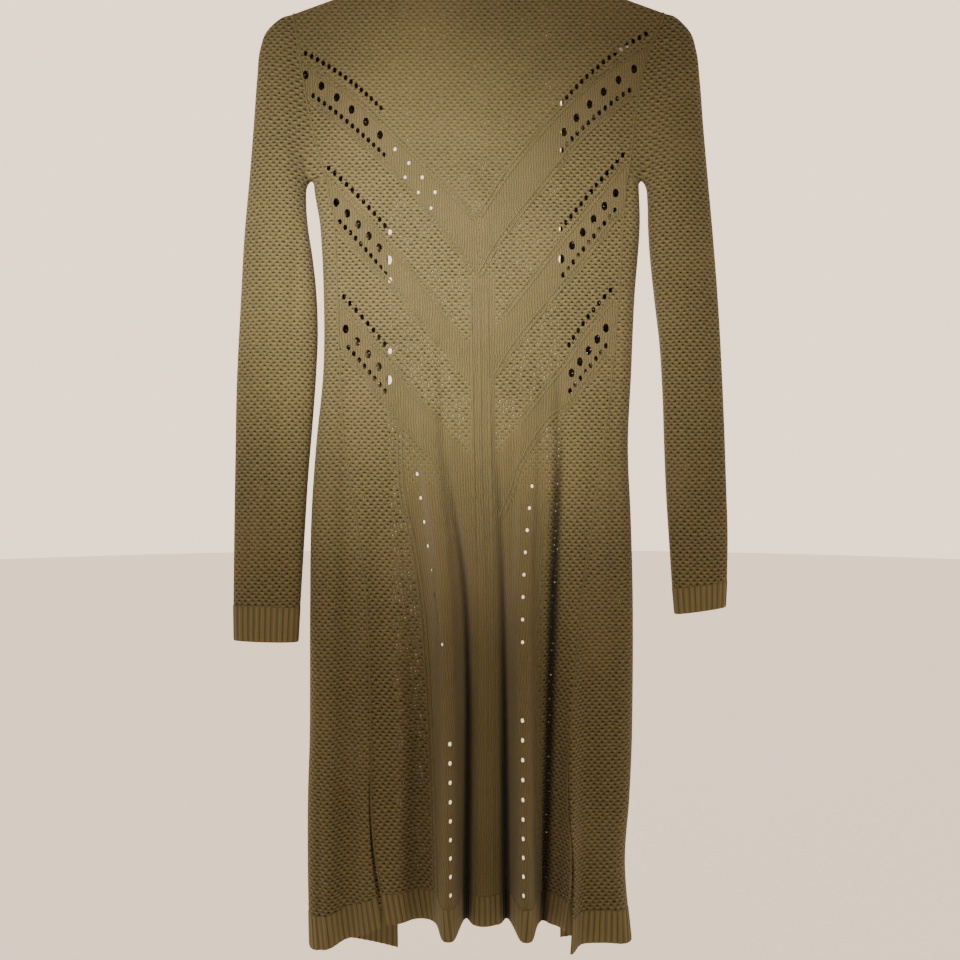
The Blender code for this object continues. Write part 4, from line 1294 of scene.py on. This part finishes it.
def edge_runs():
    """The edges of the vents and the free edges of the fronts."""
    runs = []
    for side, sign in (("left", -1.0), ("right", 1.0)):
        heights = np.linspace(VENT_TOP - 8, BODY_END, 110)
        edge = seam_line(side, heights) - sign * (vent(heights) + 0.9)
        runs.append((back_point(edge, heights), back_normal(edge, heights), 2.0, 0.7))
        heights = np.linspace(UNDERARM, BODY_END, 420)
        free = front_point(side, FREE_RUN, heights)
        out = np.tile([0.0, 1.0, 0.0], (len(free), 1))
        runs.append((free, out, 2.4, 0.8))
    return runs


def neck_run():
    x = np.linspace(-NECK_FLAT, NECK_FLAT, 130)
    top = shoulder_point(x, 0.09, -1)
    out = np.tile([0.0, -1.0, 0.0], (len(x), 1))
    return [(top, out, 2.6, 1.0)]


seams = cords("seams", seam_runs(), twisted_rib)
edges = cords("edges", edge_runs() + neck_run(), twisted_rib)

# %% [markdown]
# ## The hanger
# The hanger is one moulded piece of white plastic: a round bar bent into two sloping arms and a
# straight lower bar, with the hook on a stem. A bevelled curve gives the bar its round section, and
# the stem is joined on by a Boolean, as it is moulded in one.

# %% Hanger
def plastic_finish(name):
    """White moulded plastic with a faint flow texture."""
    recipe = Recipe(name)
    flow = recipe.noise(60.0, 3.0)
    grain = recipe.noise(900.0, 2.0)
    colour = recipe.blend(flow.rise(0.3, 0.7), (0.86, 0.855, 0.83, 1), (0.80, 0.795, 0.77, 1))
    rough = 0.26 + flow * 0.14
    return recipe.finish(colour, rough, grain * 0.6 + flow * 0.4, 0.12, {"Coat Weight": 0.15})


def bar(name, points, closed):
    """Round bar along points, as a closed mesh."""
    curve = bpy.data.curves.new(name, "CURVE")
    curve.dimensions = "3D"
    curve.bevel_depth = TUBE_RADIUS * MM
    curve.bevel_resolution = 6
    curve.use_fill_caps = not closed
    spline = curve.splines.new("POLY")
    spline.points.add(len(points) - 1)
    for knot, (x, z) in zip(spline.points, points):
        knot.co = (x * MM, 0.0, z * MM, 1.0)
    spline.use_cyclic_u = closed
    guide = placed(name + "_guide", curve)
    view = bpy.context.evaluated_depsgraph_get()
    mesh = bpy.data.meshes.new_from_object(guide.evaluated_get(view))
    form = bmesh.new()
    form.from_mesh(mesh)
    bmesh.ops.remove_doubles(form, verts=form.verts, dist=1e-6)
    bmesh.ops.recalc_face_normals(form, faces=form.faces)
    form.to_mesh(mesh)
    form.free()
    bpy.data.objects.remove(guide)
    return placed(name, mesh)


def moulded_hanger():
    arm_end = TIP_X + TIP_RADIUS * math.sin(ARM_SLOPE)
    tip_z = float(hanger_height(arm_end)) - TIP_RADIUS * math.cos(ARM_SLOPE)
    right = [(12.0, float(hanger_height(12.0))), (100.0, float(hanger_height(100.0)))]
    for k in range(25):
        angle = math.pi / 2 - ARM_SLOPE - (math.pi - ARM_SLOPE) * k / 24
        right.append((TIP_X + TIP_RADIUS * math.cos(angle), tip_z + TIP_RADIUS * math.sin(angle)))
    left = [(-x, z) for x, z in reversed(right)]
    crown = [(0.0, APEX - 1.5)]
    body = bar("hanger_bar", crown + right + left, True)
    stem = [(0.0, APEX - 1.5), (0.0, -72.0), (1.0, -66.5), (3.0, -61.5), (6.2, -56.0), (10.0, -50.0)]
    for k in range(41):
        angle = math.radians(-42.0 + 250.0 * k / 40)
        stem.append((HOOK_RADIUS * math.cos(angle), HOOK_CENTRE + HOOK_RADIUS * math.sin(angle)))
    hook = bar("hook", stem, False)
    join = body.modifiers.new("moulded_hook", "BOOLEAN")
    join.operation = "UNION"
    join.object = hook
    body.data.materials.clear()
    body.data.materials.append(plastic_finish("white_moulding"))
    body.data.shade_smooth()
    hook.data.shade_smooth()
    settle(body)
    bpy.data.objects.remove(hook)
    return body


hanger = moulded_hanger()

# %% [markdown]
# ## Joining it to the frame
# Every piece rides on the one rigid body. The fine shells take the places of the plain solids.

# %% Ride and replace
PIECES = {
    "back_panel": back, "front_left": fronts["left"], "front_right": fronts["right"],
    "sleeve_left": sleeves["left"], "sleeve_right": sleeves["right"],
    "hem_back": hem_back, "hem_front_left": hem_fronts["left"],
    "hem_front_right": hem_fronts["right"],
    "cuff_left": cuffs["left"], "cuff_right": cuffs["right"], "hanger": hanger}
for node, piece in PIECES.items():
    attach(piece, "root")
    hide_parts(node)
    ribbed = node.startswith(("hem", "cuff"))
    "white_plastic" if node == "hanger" else "olive_rib" if ribbed else "olive_knit"
for piece in (ribs, seams, edges):
    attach(piece, "root")
print("pieces on the frame:", len(PIECES) + 3)

# %% [markdown]
# ## Floor, light and camera
# The garment hangs clear over a plain pale floor. A soft spot high on the left lights the middle of
# the back, so the light falls off towards the sleeves and the hem, as it does under a ceiling lamp,
# and a weak square lamp hangs above. The surroundings are brighter behind the garment than in front
# of it, which keeps the backdrop pale: one even brightness would fill every fold. The camera
# stands about a metre away, level with the waist.

# %% Studio
FLOOR = -1.42
FRONT_LIGHT = 0.37
BACK_LIGHT = 2.6
AIR_COLOUR = (0.88, 0.685, 0.51, 1)
CAMERA = Vector((0.0, -1.034, -0.677))
LENS = 35.33


def floor_finish():
    recipe = Recipe("pale_floor")
    speck = recipe.noise(140.0, 3.0)
    colour = recipe.blend(speck, (0.84, 0.81, 0.78, 1), (0.88, 0.855, 0.83, 1))
    glow = {"Emission Color": (0.88, 0.70, 0.54, 1), "Emission Strength": 0.62}
    return recipe.finish(colour, 0.9, speck, 0.2, glow)


def studio_floor():
    form = bmesh.new()
    bmesh.ops.create_circle(form, cap_ends=True, segments=96, radius=9.0)
    piece = placed("studio_floor", mesh_from(form, "studio_floor", floor_finish()))
    piece.location.z = FLOOR


def soft_light(name, place, aim, size, power, colour, spread=None):
    """A square lamp aimed at a point, or a soft spot where a spread in degrees is given."""
    lamp = bpy.data.lights.new(name, "SPOT" if spread else "AREA")
    if spread:
        lamp.spot_size = math.radians(spread)
        lamp.spot_blend = 1.0
        lamp.shadow_soft_size = size
    else:
        lamp.size = size
    lamp.energy = power
    lamp.color = colour
    piece = placed(name, lamp)
    piece.location = place
    piece.rotation_euler = (Vector(aim) - Vector(place)).to_track_quat("-Z", "Y").to_euler()


def world_light():
    world = bpy.data.worlds.new("studio")
    world.use_nodes = True
    nodes, links = world.node_tree.nodes, world.node_tree.links
    background = nodes["Background"]
    background.inputs["Color"].default_value = AIR_COLOUR
    place = nodes.new("ShaderNodeTexCoord")
    parts = nodes.new("ShaderNodeSeparateXYZ")
    spread_out = nodes.new("ShaderNodeMapRange")
    spread_out.interpolation_type = "SMOOTHSTEP"
    for socket, value in zip(list(spread_out.inputs)[1:5], (-0.4, 0.6, FRONT_LIGHT, BACK_LIGHT)):
        socket.default_value = value
    links.new(place.outputs["Generated"], parts.inputs[0])
    links.new(parts.outputs[1], spread_out.inputs[0])
    links.new(spread_out.outputs[0], background.inputs["Strength"])
    bpy.context.scene.world = world


def camera():
    lens = bpy.data.cameras.new("camera")
    lens.sensor_width = 36.0
    lens.lens = LENS
    piece = placed("camera", lens)
    piece.location = CAMERA
    piece.rotation_euler = (math.pi / 2, 0, 0)
    bpy.context.scene.camera = piece


studio_floor()
world_light()
soft_light("key", place=(-0.42, -1.4, 0.12), aim=(-0.05, 0.0, -0.47), size=0.12, power=262.0,
           colour=(1.0, 0.91, 0.80), spread=23)
soft_light("overhead", place=(-0.7, -1.1, 0.9), aim=(0.0, 0.0, -0.5), size=0.8, power=5.0,
           colour=(1.0, 0.94, 0.85))
camera()
